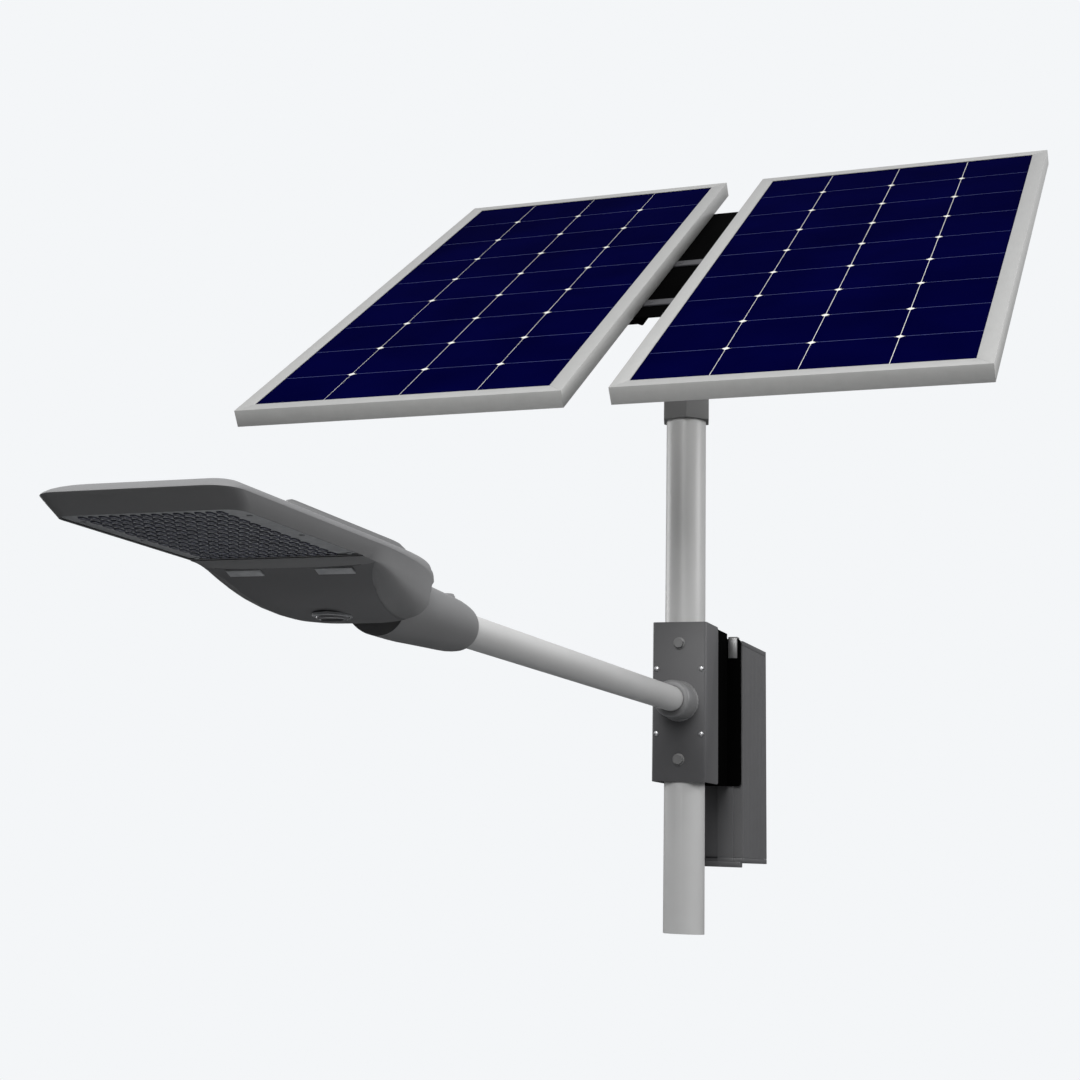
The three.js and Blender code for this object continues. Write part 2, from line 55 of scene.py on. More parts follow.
def new_material(name):
    material = bpy.data.materials.new(name)
    material.use_nodes = True
    nodes = material.node_tree.nodes
    nodes.clear()
    out = nodes.new("ShaderNodeOutputMaterial")
    shader = nodes.new("ShaderNodeBsdfPrincipled")
    material.node_tree.links.new(shader.outputs[0], out.inputs[0])
    return material, nodes, material.node_tree.links, shader


def coordinates(nodes, links, scale=(1, 1, 1)):
    coords = nodes.new("ShaderNodeTexCoord")
    mapping = nodes.new("ShaderNodeMapping")
    mapping.inputs["Scale"].default_value = scale
    links.new(coords.outputs["Object"], mapping.inputs["Vector"])
    return mapping.outputs["Vector"]


def noise(nodes, links, vector, scale, detail=3, rough=0.5):
    node = nodes.new("ShaderNodeTexNoise")
    node.inputs["Scale"].default_value = scale
    node.inputs["Detail"].default_value = detail
    node.inputs["Roughness"].default_value = rough
    links.new(vector, node.inputs["Vector"])
    return node.outputs["Fac"]


def ramp(nodes, links, value, stops):
    node = nodes.new("ShaderNodeValToRGB")
    elements = node.color_ramp.elements
    while len(elements) < len(stops):
        elements.new(0.5)
    for element, (position, color) in zip(elements, stops):
        element.position = position
        element.color = (*color, 1)
    links.new(value, node.inputs["Fac"])
    return node.outputs["Color"]


def spread(nodes, links, value, low, high):
    node = nodes.new("ShaderNodeMapRange")
    node.inputs["To Min"].default_value = low
    node.inputs["To Max"].default_value = high
    links.new(value, node.inputs["Value"])
    return node.outputs["Result"]


def bump(nodes, links, height, shader, strength, distance):
    node = nodes.new("ShaderNodeBump")
    node.inputs["Strength"].default_value = strength
    node.inputs["Distance"].default_value = distance
    links.new(height, node.inputs["Height"])
    links.new(node.outputs["Normal"], shader.inputs["Normal"])


def shade(color, factor):
    return tuple(min(1.0, channel * factor) for channel in color)


def coated(name, color, roughness, grain=900, depth=0.00004, blotch=0.06, ior=1.45):
    """Painted or moulded surface: fine grain in the bump, faint cloudy variation of colour."""
    material, nodes, links, shader = new_material(name)
    vector = coordinates(nodes, links)
    cloud = noise(nodes, links, vector, 6, 4, 0.6)
    stops = [(0.3, shade(color, 1 - blotch)), (0.7, shade(color, 1 + blotch))]
    links.new(ramp(nodes, links, cloud, stops), shader.inputs["Base Color"])
    fine = noise(nodes, links, vector, grain, 2, 0.5)
    gloss = spread(nodes, links, fine, roughness - 0.06, roughness + 0.06)
    links.new(gloss, shader.inputs["Roughness"])
    bump(nodes, links, fine, shader, 0.35, depth)
    shader.inputs["IOR"].default_value = ior
    return material


def drawn_metal(name, color, roughness, stretch, metal=1.0, streak=0.08):
    """Extruded or machined metal: long fine streaks along one axis."""
    material, nodes, links, shader = new_material(name)
    vector = coordinates(nodes, links, stretch)
    lines = noise(nodes, links, vector, 60, 4, 0.65)
    stops = [(0.25, shade(color, 1 - streak)), (0.75, shade(color, 1 + streak))]
    links.new(ramp(nodes, links, lines, stops), shader.inputs["Base Color"])
    gloss = spread(nodes, links, lines, roughness - 0.07, roughness + 0.07)
    links.new(gloss, shader.inputs["Roughness"])
    bump(nodes, links, lines, shader, 0.12, 0.00005)
    shader.inputs["Metallic"].default_value = metal
    return material


POLE_PAINT = coated("pole_paint", (0.53, 0.53, 0.525), 0.38, 700, 0.00005, 0.03)
COLLAR = coated("collar_paint", (0.17, 0.17, 0.17), 0.42, 1100, 0.00006, 0.04)
CHARCOAL = coated("charcoal_paint", (0.085, 0.085, 0.088), 0.45, 1100, 0.00006, 0.05)
BOLT_PAINT = coated("painted_bolt", (0.16, 0.16, 0.16), 0.4, 1100, 0.00004, 0.08)
# Near-black with almost no reflection: real black steel on the carrier spine and rails, and painted
# shade on the rear clamp and box plate, which fill the shadowed recess behind the bracket.
BLACK_STEEL_AND_SHADE = coated("black_paint", (0.0015, 0.0015, 0.0015), 0.6, 1100, 0.00005, 0.2, 1.02)
CASTING = coated("lamp_casting", (0.185, 0.185, 0.187), 0.42, 1300, 0.00008, 0.04)
# A darker copy of the lamp casting's grey: painted shade for the underside bowl, which faces down away
# from the light.
SHADED_COVER_GREY = coated("cover_grey_painted_shade", (0.12, 0.12, 0.123), 0.5, 1300, 0.00008, 0.04)
PLASTIC = coated("black_plastic", (0.02, 0.02, 0.022), 0.55, 1500, 0.00006, 0.1)
BOARD = coated("circuit_board", (0.8, 0.8, 0.77), 0.5, 400, 0.00003, 0.03)
RUBBER = coated("seal_rubber", (0.012, 0.012, 0.012), 0.75, 1500, 0.00008, 0.1)
ANODISED = drawn_metal("panel_aluminium", (0.45, 0.45, 0.44), 0.45, (1, 0.06, 1), 0.2, 0.04)
ZINC = drawn_metal("zinc_steel", (0.6, 0.6, 0.61), 0.33, (1, 1, 1), 1.0, 0.12)
SEAM = coated("cell_seam", (0.05, 0.07, 0.27), 0.4, 500, 0.00002, 0.1)
BACKSHEET = coated("panel_backsheet", (0.82, 0.81, 0.77), 0.35, 300, 0.00002, 0.02)
HOOK_STEEL = drawn_metal("hook_steel", (0.3, 0.3, 0.3), 0.4, (1, 1, 1), 0.7, 0.1)
STRAP = drawn_metal("strap_steel", (0.055, 0.055, 0.06), 0.42, (1, 1, 1), 0.4, 0.1)
LATCH = coated("latch_plastic", (0.2, 0.2, 0.205), 0.45, 1300, 0.00006, 0.06)
HEAT_SINK = drawn_metal("driver_case", (0.6, 0.6, 0.61), 0.4, (1, 0.1, 1), 0.8, 0.06)


def cell_material():
    """Dark blue silicon under glass: each cell a little different, with fine crystal shimmer."""
    material, nodes, links, shader = new_material("solar_cell")
    vector = coordinates(nodes, links)
    patch = noise(nodes, links, vector, 5, 2, 0.5)
    stops = [(0.3, (0.0002, 0.0002, 0.022)), (0.7, (0.0005, 0.0006, 0.032))]
    links.new(ramp(nodes, links, patch, stops), shader.inputs["Base Color"])
    grain = noise(nodes, links, vector, 500, 3, 0.6)
    links.new(spread(nodes, links, grain, 0.16, 0.26), shader.inputs["Roughness"])
    bump(nodes, links, grain, shader, 0.15, 0.00002)
    shader.inputs["IOR"].default_value = 1.006
    return material


def lens_material(name, dark, light, roughness):
    material, nodes, links, shader = new_material(name)
    vector = coordinates(nodes, links)
    cloud = noise(nodes, links, vector, 90, 3, 0.6)
    links.new(ramp(nodes, links, cloud, [(0.35, dark), (0.65, light)]), shader.inputs["Base Color"])
    fine = noise(nodes, links, vector, 1500, 2, 0.5)
    gloss = spread(nodes, links, fine, roughness - 0.05, roughness + 0.08)
    links.new(gloss, shader.inputs["Roughness"])
    bump(nodes, links, cloud, shader, 0.2, 0.0002)
    return material


CELL = cell_material()
LENS_PLATE = lens_material("lens_plastic", (0.42, 0.43, 0.44), (0.52, 0.53, 0.54), 0.32)
LENS = lens_material("lens_dome", (0.045, 0.048, 0.075), (0.13, 0.135, 0.18), 0.16)


# ---- mesh helpers --------------------------------------------------------------------------

def smooth_by_angle(mesh, degrees):
    mesh.polygons.foreach_set("use_smooth", [True] * len(mesh.polygons))
    mesh.set_sharp_from_angle(angle=math.radians(degrees))
    mesh.update()


def piece(name, parts, materials, body, replaced=(), zone=POST, angle=32):
    """Joins bmesh parts, drawn in millimetres in a zone, into one named object on a body."""
    mesh = bpy.data.meshes.new(name)
    whole = bmesh.new()
    for part in parts:
        temp = bpy.data.meshes.new("part")
        part.to_mesh(temp)
        part.free()
        whole.from_mesh(temp)
        bpy.data.meshes.remove(temp)
    whole.transform(Matrix.Scale(MM, 4) @ zone)
    bmesh.ops.recalc_face_normals(whole, faces=whole.faces)
    whole.to_mesh(mesh)
    whole.free()
    for material in materials:
        mesh.materials.append(material)
    smooth_by_angle(mesh, angle)
    item = bpy.data.objects.new(name, mesh)
    bpy.context.scene.collection.objects.link(item)
    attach(item, body)
    if replaced:
        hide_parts(*replaced)
    return item


def paint(part, index):
    for face in part.faces:
        face.material_index = index
    return part


def bevel(part, width, segments=2, angle=30):
    limit = math.radians(angle)
    edges = [e for e in part.edges if len(e.link_faces) == 2 and e.calc_face_angle(0) > limit]
    bmesh.ops.bevel(part, geom=edges, offset=width, offset_type="OFFSET", segments=segments,
                    profile=0.5, affect="EDGES", clamp_overlap=True)
    return part


def box(x0, x1, y0, y1, z0, z1, soft=0.8, segments=2):
    part = bmesh.new()
    bmesh.ops.create_cube(part, size=1)
    size = Vector((x1 - x0, y1 - y0, z1 - z0))
    middle = Vector((x1 + x0, y1 + y0, z1 + z0)) / 2
    part.transform(Matrix.Translation(middle) @ Matrix.Diagonal((*size, 1)))
    if soft:
        bevel(part, soft, segments)
    return part


def skin(loops, closed=False):
    """A surface through rings of points with equal counts."""
    part = bmesh.new()
    rings = [[part.verts.new(p) for p in loop] for loop in loops]
    pairs = list(zip(rings, rings[1:]))
    if closed:
        pairs.append((rings[-1], rings[0]))
    for a, b in pairs:
        for i in range(len(a)):
            j = (i + 1) % len(a)
            part.faces.new((a[i], a[j], b[j], b[i]))
    if not closed:
        part.faces.new(list(reversed(rings[0])))
        part.faces.new(rings[-1])
    bmesh.ops.recalc_face_normals(part, faces=part.faces)
    return part


AXES = {
    "x": lambda u, v, t: (t, u, v),
    "y": lambda u, v, t: (u, t, v),
    "z": lambda u, v, t: (u, v, t),
}


def turned(axis, center, profile, segments=64, closed=False, turn=0.0, radial=None):
    """Revolves (radius, position) points about an axis through center, given in the other two
    axes. radial bends the circle into another outline, such as a hexagon."""
    place = AXES[axis]
    loops = []
    for radius, at in profile:
        loop = []
        for i in range(segments):
            a = 2 * math.pi * i / segments + turn
            r = radial(a - turn, radius) if radial else radius
            loop.append(place(center[0] + r * math.cos(a), center[1] + r * math.sin(a), at))
        loops.append(loop)
    return skin(loops, closed)


def tube(axis, center, outer, inner, start, end, soft=1.0, segments=96):
    profile = [
        (outer - soft, start), (outer - soft * 0.3, start + soft * 0.3), (outer, start + soft),
        (outer, end - soft), (outer - soft * 0.3, end - soft * 0.3), (outer - soft, end),
        (inner + soft / 2, end), (inner, end - soft / 2), (inner, start + soft / 2),
        (inner + soft / 2, start),
    ]
    return turned(axis, center, profile, segments, closed=True)


def disc(axis, center, radius, start, end, soft=0.6, segments=48):
    profile = [
        (radius - soft, start), (radius - soft * 0.3, start + soft * 0.3), (radius, start + soft),
        (radius, end - soft), (radius - soft * 0.3, end - soft * 0.3), (radius - soft, end),
    ]
    return turned(axis, center, profile, segments)


def hexagon(a, radius):
    """A hexagon whose flats are radius * cos 30 degrees away, cut by its corner circle."""
    step = math.pi / 3
    offset = (a % step) - step / 2
    flat = radius * math.cos(math.pi / 6)
    return min(flat / math.cos(offset), radius * 0.985)


def hex_head(axis, center, across, start, end, outward=1, turn=0.0):
    """Chamfered bolt head or nut body. across is over the flats; the chamfer faces outward."""
    corner = across / 2 / math.cos(math.pi / 6)
    rise = (end - start)
    top = [(corner, 0.0), (corner, 0.78), (corner * 0.955, 0.9), (corner * 0.86, 1.0)]
    if outward < 0:
        profile = [(r, end - t * rise) for r, t in top]
    else:
        profile = [(r, start + t * rise) for r, t in top]

    def radial(a, radius):
        return min(hexagon(a, corner), radius)

    return turned(axis, center, profile, 72, turn=turn, radial=radial)


def thread(axis, center, radius, start, end, pitch=1.75, depth=0.75):
    """Stacked thread crests on a rod, with a small chamfer at its end."""
    profile = [(radius - depth, start)]
    steps = max(1, int(abs(end - start) / pitch))
    pitch = (end - start) / steps
    for i in range(steps):
        base = start + i * pitch
        profile += [(radius - depth, base + pitch * 0.12), (radius, base + pitch * 0.5)]
    profile += [(radius - depth, end - pitch * 0.1), (radius - depth * 1.8, end)]
    return turned(axis, center, profile, 32)


def extruded(outline, axis, start, end, soft=0.8, segments=2, angle=30):
    """A closed outline in the two other axes, drawn along an axis."""
    place = AXES[axis]
    part = skin([[place(u, v, t) for u, v in outline] for t in (start, end)])
    if soft:
        bevel(part, soft, segments, angle)
    return part


def rounded(points, radii, steps=6):
    """Replaces the corners of a closed outline with arcs of the given radii."""
    result = []
    count = len(points)
    for i, point in enumerate(points):
        radius = radii[i] if isinstance(radii, (list, tuple)) else radii
        p = Vector(point)
        a = Vector(points[i - 1]) - p
        b = Vector(points[(i + 1) % count]) - p
        if radius <= 0:
            result.append(tuple(p))
            continue
        half = a.angle(b) / 2
        reach = radius / math.tan(half)
        start, end = p + a.normalized() * reach, p + b.normalized() * reach
        center = p + (a.normalized() + b.normalized()).normalized() * (radius / math.sin(half))
        va, vb = start - center, end - center
        sweep = va.angle_signed(vb)
        for k in range(steps + 1):
            t = -sweep * k / steps
            c, s = math.cos(t), math.sin(t)
            result.append((center.x + va.x * c - va.y * s, center.y + va.x * s + va.y * c))
    return result


def combine(a, b, operation="DIFFERENCE"):
    """Boolean of two bmesh parts, in millimetres. Both are used up."""
    objects = []
    for part in (a, b):
        mesh = bpy.data.meshes.new("operand")
        bmesh.ops.recalc_face_normals(part, faces=part.faces)
        part.to_mesh(mesh)
        part.free()
        item = bpy.data.objects.new("operand", mesh)
        bpy.context.scene.collection.objects.link(item)
        objects.append(item)
    modifier = objects[0].modifiers.new("cut", "BOOLEAN")
    modifier.operation = operation
    modifier.object = objects[1]
    modifier.solver = "EXACT"
    bpy.context.view_layer.update()
    result = bmesh.new()
    result.from_object(objects[0], bpy.context.evaluated_depsgraph_get())
    for item in objects:
        mesh = item.data
        bpy.data.objects.remove(item)
        bpy.data.meshes.remove(mesh)
    return result


# ---- pole and arm ---------------------------------------------------------------------------

POLE_R, POLE_TOP = 41.5, 1210
ARM_R, ARM_START, ARM_END = 25.4, 47, 1330

pole = tube("z", (0, 0), POLE_R, POLE_R - 3, 0, POLE_TOP, 0.8)
for side in (-1, 1):
    hole = turned("y", (0, BRACKET_Z + side * THROUGH_BOLT_Z), [(6.5, -60), (6.5, 60)], 24)
    pole = combine(pole, hole)
piece("pole_tube", [pole], [POLE_PAINT], "root", ["pole"])

arm = tube("y", (0, 0), ARM_R, ARM_R - 3, -ARM_END, -ARM_START, 0.8)
piece("lamp_arm_tube", [arm], [POLE_PAINT], "root", ["lamp_arm"], BRACKET)

# ---- solar panels ---------------------------------------------------------------------------

PANEL_W, PANEL_L, PANEL_D = 670, 1470, 34
PANEL_TOP, PANEL_MID, PANEL_GAP = 102, -30, 90
LIP, PITCH, CELL_HALF, WAFER_R = 31, 158, 78.35, 105.6


def frame_profile():
    """Section of the frame, as distance in from the outer edge and height above its top."""
    return [
        (0, 0), (LIP, 0), (LIP, -1.8), (1.8, -1.8), (1.8, -7.4), (LIP - 3, -7.4),
        (LIP - 3, -9.4), (2, -9.4), (2, -32), (28, -32), (28, -PANEL_D), (0, -PANEL_D),
    ]


def mitred_bar(half_length, half_width, along_x, side):
    """One bar of a panel frame, cut at 45 degrees at both ends with a hairline seam."""
    seam = 0.12
    loops = []
    for end in (-1, 1):
        loop = []
        for inset, height in frame_profile():
            reach = half_length - inset - seam
            off = side * (half_width - inset)
            if along_x:
                loop.append((end * reach, off, height))
            else:
                loop.append((off, end * reach, height))
        loops.append(loop)
    return bevel(skin(loops), 0.55, 2, 40)


def panel_frame(middle):
    w, l = PANEL_W / 2, PANEL_L / 2
    bars = []
    for side in (-1, 1):
        bars.append(mitred_bar(w, l, True, side))
        bars.append(mitred_bar(l, w, False, side))
    for bar in bars:
        bar.transform(Matrix.Translation((middle, PANEL_MID, PANEL_TOP)))
    return bars


def cell_outline(cx, cy):
    """Wafer whose corners are cut by the round ingot it came from."""
    points = []
    for quarter in range(4):
        first = quarter * math.pi / 2 + math.acos(CELL_HALF / WAFER_R)
        last = (quarter + 1) * math.pi / 2 - math.acos(CELL_HALF / WAFER_R)
        for k in range(7):
            a = first + (last - first) * k / 6
            points.append((cx + WAFER_R * math.cos(a), cy + WAFER_R * math.sin(a)))
    return points


def panel_laminate(middle):
    w, l = PANEL_W / 2 - 2.2, PANEL_L / 2 - 2.2
    top, bottom = PANEL_TOP - 2.3, PANEL_TOP - 6.9
    glass = box(middle - w, middle + w, PANEL_MID - l, PANEL_MID + l, bottom, top - 0.25, 0.4, 1)
    parts = [paint(glass, 0)]
    for column in range(4):
        for row in range(9):
            outline = cell_outline(middle + (column - 1.5) * PITCH, PANEL_MID + (row - 4) * PITCH)
            parts.append(paint(extruded(outline, "z", top - 0.3, top, 0), 1))
            if row:
                x, y = middle + (column - 1.5) * PITCH, PANEL_MID + (row - 4.5) * PITCH
                parts.append(paint(box(x - 68, x + 68, y - 0.6, y + 0.6, top - 0.3, top - 0.05, 0), 2))
    return parts


for where, side in (("left", -1), ("right", 1)):
    middle = side * (PANEL_GAP + PANEL_W) / 2
    piece(f"panel_frame_bars_{where}", panel_frame(middle), [ANODISED], "panel_array",
          [f"panel_frame_{where}"], ARRAY)
    piece(f"cell_laminate_{where}", panel_laminate(middle), [BACKSHEET, CELL, SEAM], "panel_array",
          [f"panel_laminate_{where}"], ARRAY)
    seat = PANEL_MID + PANEL_L / 2 - 150
    under = PANEL_TOP - 7.7
    parts = [
        box(middle - 60, middle + 60, seat - 50, seat + 50, under - 14, under, 3, 3),
        box(middle - 56, middle + 56, seat - 46, seat + 46, under - 21.5, under - 13.5, 4, 3),
    ]
    for k in range(5):
        x = middle - 36 + k * 18
        parts.append(box(x - 2, x + 2, seat - 34, seat + 34, under - 22, under - 21, 0.4, 1))
    piece(f"junction_housing_{where}", parts, [PLASTIC], "panel_array",
          [f"junction_box_{where}"], ARRAY)

# ---- arm bracket, rear clamp, hooks and battery box ------------------------------------------

WEB_FRONT = -45.8
CHANNEL_HALF, CHANNEL_TALL, CHANNEL_BACK = 57, 162, 52


def channel_outline(half, front, back, sheet, bend):
    """U-shaped section of a bent sheet, open at the back."""
    outer = [(-half, back), (-half, front), (half, front), (half, back)]
    inner = [(half - sheet, back), (half - sheet, front + sheet),
             (-half + sheet, front + sheet), (-half + sheet, back)]
    tight = max(0.5, bend - sheet)
    return rounded(outer + inner, [0, bend, bend, 0, 0, tight, tight, 0], 6)


def round_flange_corners(part, half, back, tall, radius):
    """Rounds the free corners of both flanges of a channel."""
    for side in (-1, 1):
        for end in (-1, 1):
            y1, z1 = back, end * tall
            square = [(y1 - radius, z1 - end * radius), (y1 + 1, z1 - end * radius),
                      (y1 + 1, z1 + end), (y1 - radius, z1 + end)]
            cutter = skin([[(x, y, z) for y, z in square]
                           for x in (side * (half - 8), side * (half + 4))])
            drum = turned("x", (y1 - radius, z1 - end * radius),
                          [(radius, side * (half - 9)), (radius, side * (half + 5))], 48)
            part = combine(part, combine(cutter, drum))
    return part


channel = extruded(channel_outline(CHANNEL_HALF, WEB_FRONT, CHANNEL_BACK, 4, 6), "z",
                   -CHANNEL_TALL, CHANNEL_TALL, 0.7, 2, 50)
channel = round_flange_corners(channel, CHANNEL_HALF, CHANNEL_BACK, CHANNEL_TALL, 9)
piece("bracket_channel", [channel], [CHARCOAL], "root", ["arm_bracket"], BRACKET)

for where, side in (("upper", 1), ("lower", -1)):
    z = side * THROUGH_BOLT_Z
    face = WEB_FRONT - 0.3
    washer = disc("y", (0, z), 12.4, face - 1.6, face, 0.4)
    head = hex_head("y", (0, z), 18.2, face - 8, face - 1.2, outward=-1, turn=0.3 * side)
    shank = disc("y", (0, z), 6, face - 1, 118, 0.3, 32)
    tip = thread("y", (0, z), 6, 118, 160)
    bolt = [paint(washer, 0), paint(head, 0), paint(shank, 1), paint(tip, 1)]
    piece(f"bracket_bolt_{where}", bolt, [BOLT_PAINT, ZINC], "root",
          [f"through_bolt_{where}"], BRACKET)
    nut = hex_head("y", (0, z), 18.2, 151.3, 160, 1, turn=0.2)
    nut = combine(nut, turned("y", (0, z), [(6.15, 150), (6.15, 162)], 32))
    piece(f"bracket_nut_{where}", [nut], [ZINC], "root",
          [f"through_nut_{where}"], BRACKET)

for where, sx, sz in (("top_left", -1, 1), ("top_right", 1, 1),
                      ("bottom_left", -1, -1), ("bottom_right", 1, -1)):
    x, z = sx * 47, sz * 66
    face = WEB_FRONT - 0.3
    dome = [(5.4, face), (5.4, face - 1.0), (4.9, face - 2.2), (3.6, face - 3.1), (2.2, face - 3.4)]
    head = turned("y", (x, z), dome, 32)
    socket = hex_head("y", (x, z), 3, face - 5, face - 1.6, 1)
    shank = disc("y", (x, z), 3, face - 1, -36, 0.2, 24)
    piece(f"channel_screw_{where}", [combine(head, socket), shank], [ZINC], "root",
          [f"bracket_screw_{where}"], BRACKET)

# The rear clamp is drawn near-black: painted shade for the shadowed gap behind the channel's flanges.
clamp_back = CHANNEL_TALL - 2
outline = [(x, 159 - y) for x, y in channel_outline(52.5, 8, 151, 4, 6)]
clamp = extruded(outline, "z", -clamp_back, clamp_back, 0.7, 2, 50)
for side in (-1, 1):
    clamp = combine(clamp, turned("y", (0, side * THROUGH_BOLT_Z), [(6.5, 140), (6.5, 160)], 24))
piece("clamp_channel", [clamp], [BLACK_STEEL_AND_SHADE], "root", ["rear_clamp"], BRACKET)

# The box plate is drawn near-black: painted shade for the shadowed front of the box under the bracket.
outline = rounded([(-80, -160), (80, -160), (80, 150), (-80, 150)], 8)
plate = extruded(outline, "y", 152, 156, 0.8, 2, 50)
for side in (-1, 1):
    plate = combine(plate, turned("y", (0, side * THROUGH_BOLT_Z), [(14, 140), (14, 170)], 32))
piece("box_plate", [plate], [BLACK_STEEL_AND_SHADE], "root", ["battery_back_plate"], BRACKET)

BOX_HALF, BOX_FRONT, BOX_BACK, BOX_TOP, BOX_LOW, CAP = 83, 158, 383, 146, -316, 10
GLAND_X, GLAND_Y = (-35, 35), 270


def box_outline(flutes=True):
    """Section of the extruded case: stepped front ribs and fluted sides, round rear corners."""
    half, front, back = BOX_HALF, BOX_FRONT, BOX_BACK
    front_points = [
        (-half, front + 4), (-62, front + 4), (-62, front), (-28, front), (-28, front + 6),
        (28, front + 6), (28, front), (62, front), (62, front + 4), (half, front + 4),
    ]
    radii = [3.5, 1, 1, 1, 1, 1, 1, 1, 1, 3.5]
    points, sizes = list(front_points), list(radii)
    flute_at = [front + 26 + k * 12.5 for k in range(16)] if flutes else []
    for y in flute_at:
        points += [(half, y - 1.6), (half - 0.9, y - 0.6), (half - 0.9, y + 0.6), (half, y + 1.6)]
        sizes += [0, 0, 0, 0]
    points += [(half, back), (-half, back)]
    sizes += [9, 9]
    for y in reversed(flute_at):
        points += [(-half, y + 1.6), (-half + 0.9, y + 0.6), (-half + 0.9, y - 0.6), (-half, y - 1.6)]
        sizes += [0, 0, 0, 0]
    return rounded(points, sizes, 4)


case = extruded(box_outline(), "z", BOX_LOW + CAP + 0.3, BOX_TOP - CAP - 0.3, 0)
hollow = box(-77, 77, 170, 377, BOX_LOW, BOX_TOP, 0)
piece("box_case", [combine(case, hollow)], [CHARCOAL], "root",
      ["battery_case"], BRACKET)
lid = extruded(box_outline(False), "z", BOX_TOP - CAP, BOX_TOP, 1.6, 3, 50)
piece("box_lid", [lid], [CHARCOAL], "root", ["battery_cap_top"], BRACKET)
base = extruded(box_outline(False), "z", BOX_LOW, BOX_LOW + CAP, 1.2, 2, 50)
foot = extruded(rounded([(-78, 152), (78, 152), (78, 178), (-78, 178)], 6), "z",
                BOX_LOW - 10, BOX_LOW + 1.5, 1.5, 3, 50)
holes = [turned("z", (x, GLAND_Y), [(8.3, BOX_LOW - 20), (8.3, BOX_LOW + 20)], 32) for x in GLAND_X]
base = combine(base, foot, "UNION")
for hole in holes:
    base = combine(base, hole)
piece("box_base", [base], [CHARCOAL], "root", ["battery_cap_bottom"], BRACKET)

for index, x in enumerate(GLAND_X, 1):
    top = BOX_LOW - 0.3
    body = hex_head("z", (x, GLAND_Y), 20.8, top - 4.7, top, -1)
    profile = [(8.4, top - 8.6), (9.4, top - 7.8), (10, top - 5.5), (10, top - 3)]
    ring = turned("z", (x, GLAND_Y), profile, 48)
    stem = thread("z", (x, GLAND_Y), 8, top - 1, BOX_LOW + CAP + 4, 1.5, 0.5)
    bore = turned("z", (x, GLAND_Y), [(4, top - 30), (4, top + 30)], 24)
    gland = combine(combine(combine(body, ring, "UNION"), stem, "UNION"), bore)
    piece(f"gland_{index}", [gland], [PLASTIC], "root",
          [f"cable_gland_{index}"], BRACKET)

for where, side in (("left", -1), ("right", 1)):
    x0 = 54 if side > 0 else -73
    outline = [(147.7, 108), (151.7, 108), (151.7, 150.5), (170, 150.5), (170, 154), (147.7, 154)]
    radii = [0, 0, 1.2, 0, 0, 4.5]
    hook = extruded(rounded(outline, radii, 6), "x", x0, x0 + 19, 0.5, 2, 50)
    piece(f"hook_{where}", [hook], [HOOK_STEEL], "root", [f"box_hook_{where}"], BRACKET)

# The socket ring is welded on the bracket's web.
socket_end = WEB_FRONT - 0.3 - 60
profile = [
    (38, WEB_FRONT - 0.3), (38, socket_end + 7), (37.2, socket_end + 3.6), (35.2, socket_end + 1.2),
    (32.8, socket_end), (26.4, socket_end), (25.8, socket_end + 0.6), (25.8, WEB_FRONT - 0.3),
]
ring = turned("y", (0, 0), profile, 96, closed=True)


def rippled(angle, radius):
    return radius + (0.35 * math.sin(angle * 32) if radius > 38.5 else 0)


weld = turned("y", (0, 0), [(37.4, WEB_FRONT - 0.3), (41.4, WEB_FRONT - 0.3), (41, WEB_FRONT - 1.6),
                            (39.6, WEB_FRONT - 3.2), (37.4, WEB_FRONT - 4)], 192, True, radial=rippled)
piece("socket_ring", [ring, weld], [CASTING], "root", ["arm_socket"], BRACKET)

# ---- collar, yoke and the tilting carrier -----------------------------------------------------

COLLAR_LOW, COLLAR_HIGH, COLLAR_FLAT = 595, 755, 47.3
COLLAR_CORNER = COLLAR_FLAT / math.cos(math.pi / 6)
COLLAR_TURN = math.radians(15 - 90)


def hex_outline(corner, soft):
    points = [(corner * math.cos(COLLAR_TURN + k * math.pi / 3),
               corner * math.sin(COLLAR_TURN + k * math.pi / 3)) for k in range(6)]
    return rounded(points, soft, 4)


collar = extruded(hex_outline(COLLAR_CORNER, 2.5), "z", COLLAR_LOW, COLLAR_HIGH - 0.3, 1.0, 2, 40)
collar = combine(collar, turned("z", (0, 0), [(41.9, COLLAR_LOW - 5), (41.9, COLLAR_HIGH + 5)], 96))
back = Matrix.Rotation(-math.radians(15), 4, "Z")
for z in (COLLAR_LOW + 40, COLLAR_LOW + 110):
    bore = turned("y", (0, z), [(5.3, 35), (5.3, 70)], 24)
    bore.transform(back)
    collar = combine(collar, bore)
piece("collar_sleeve", [collar], [COLLAR], "panel_mount", ["pole_collar"], BRACKET)
for index, z in enumerate((COLLAR_LOW + 40, COLLAR_LOW + 110), 1):
    parts = [hex_head("y", (0, z), 14.7, 47.6, 55, 1), disc("y", (0, z), 5, 41.8, 50, 0.3, 24)]
    for part in parts:
        part.transform(back)
    piece(f"collar_screw_{index}", parts, [ZINC], "panel_mount",
          [f"collar_set_screw_{index}"], BRACKET)

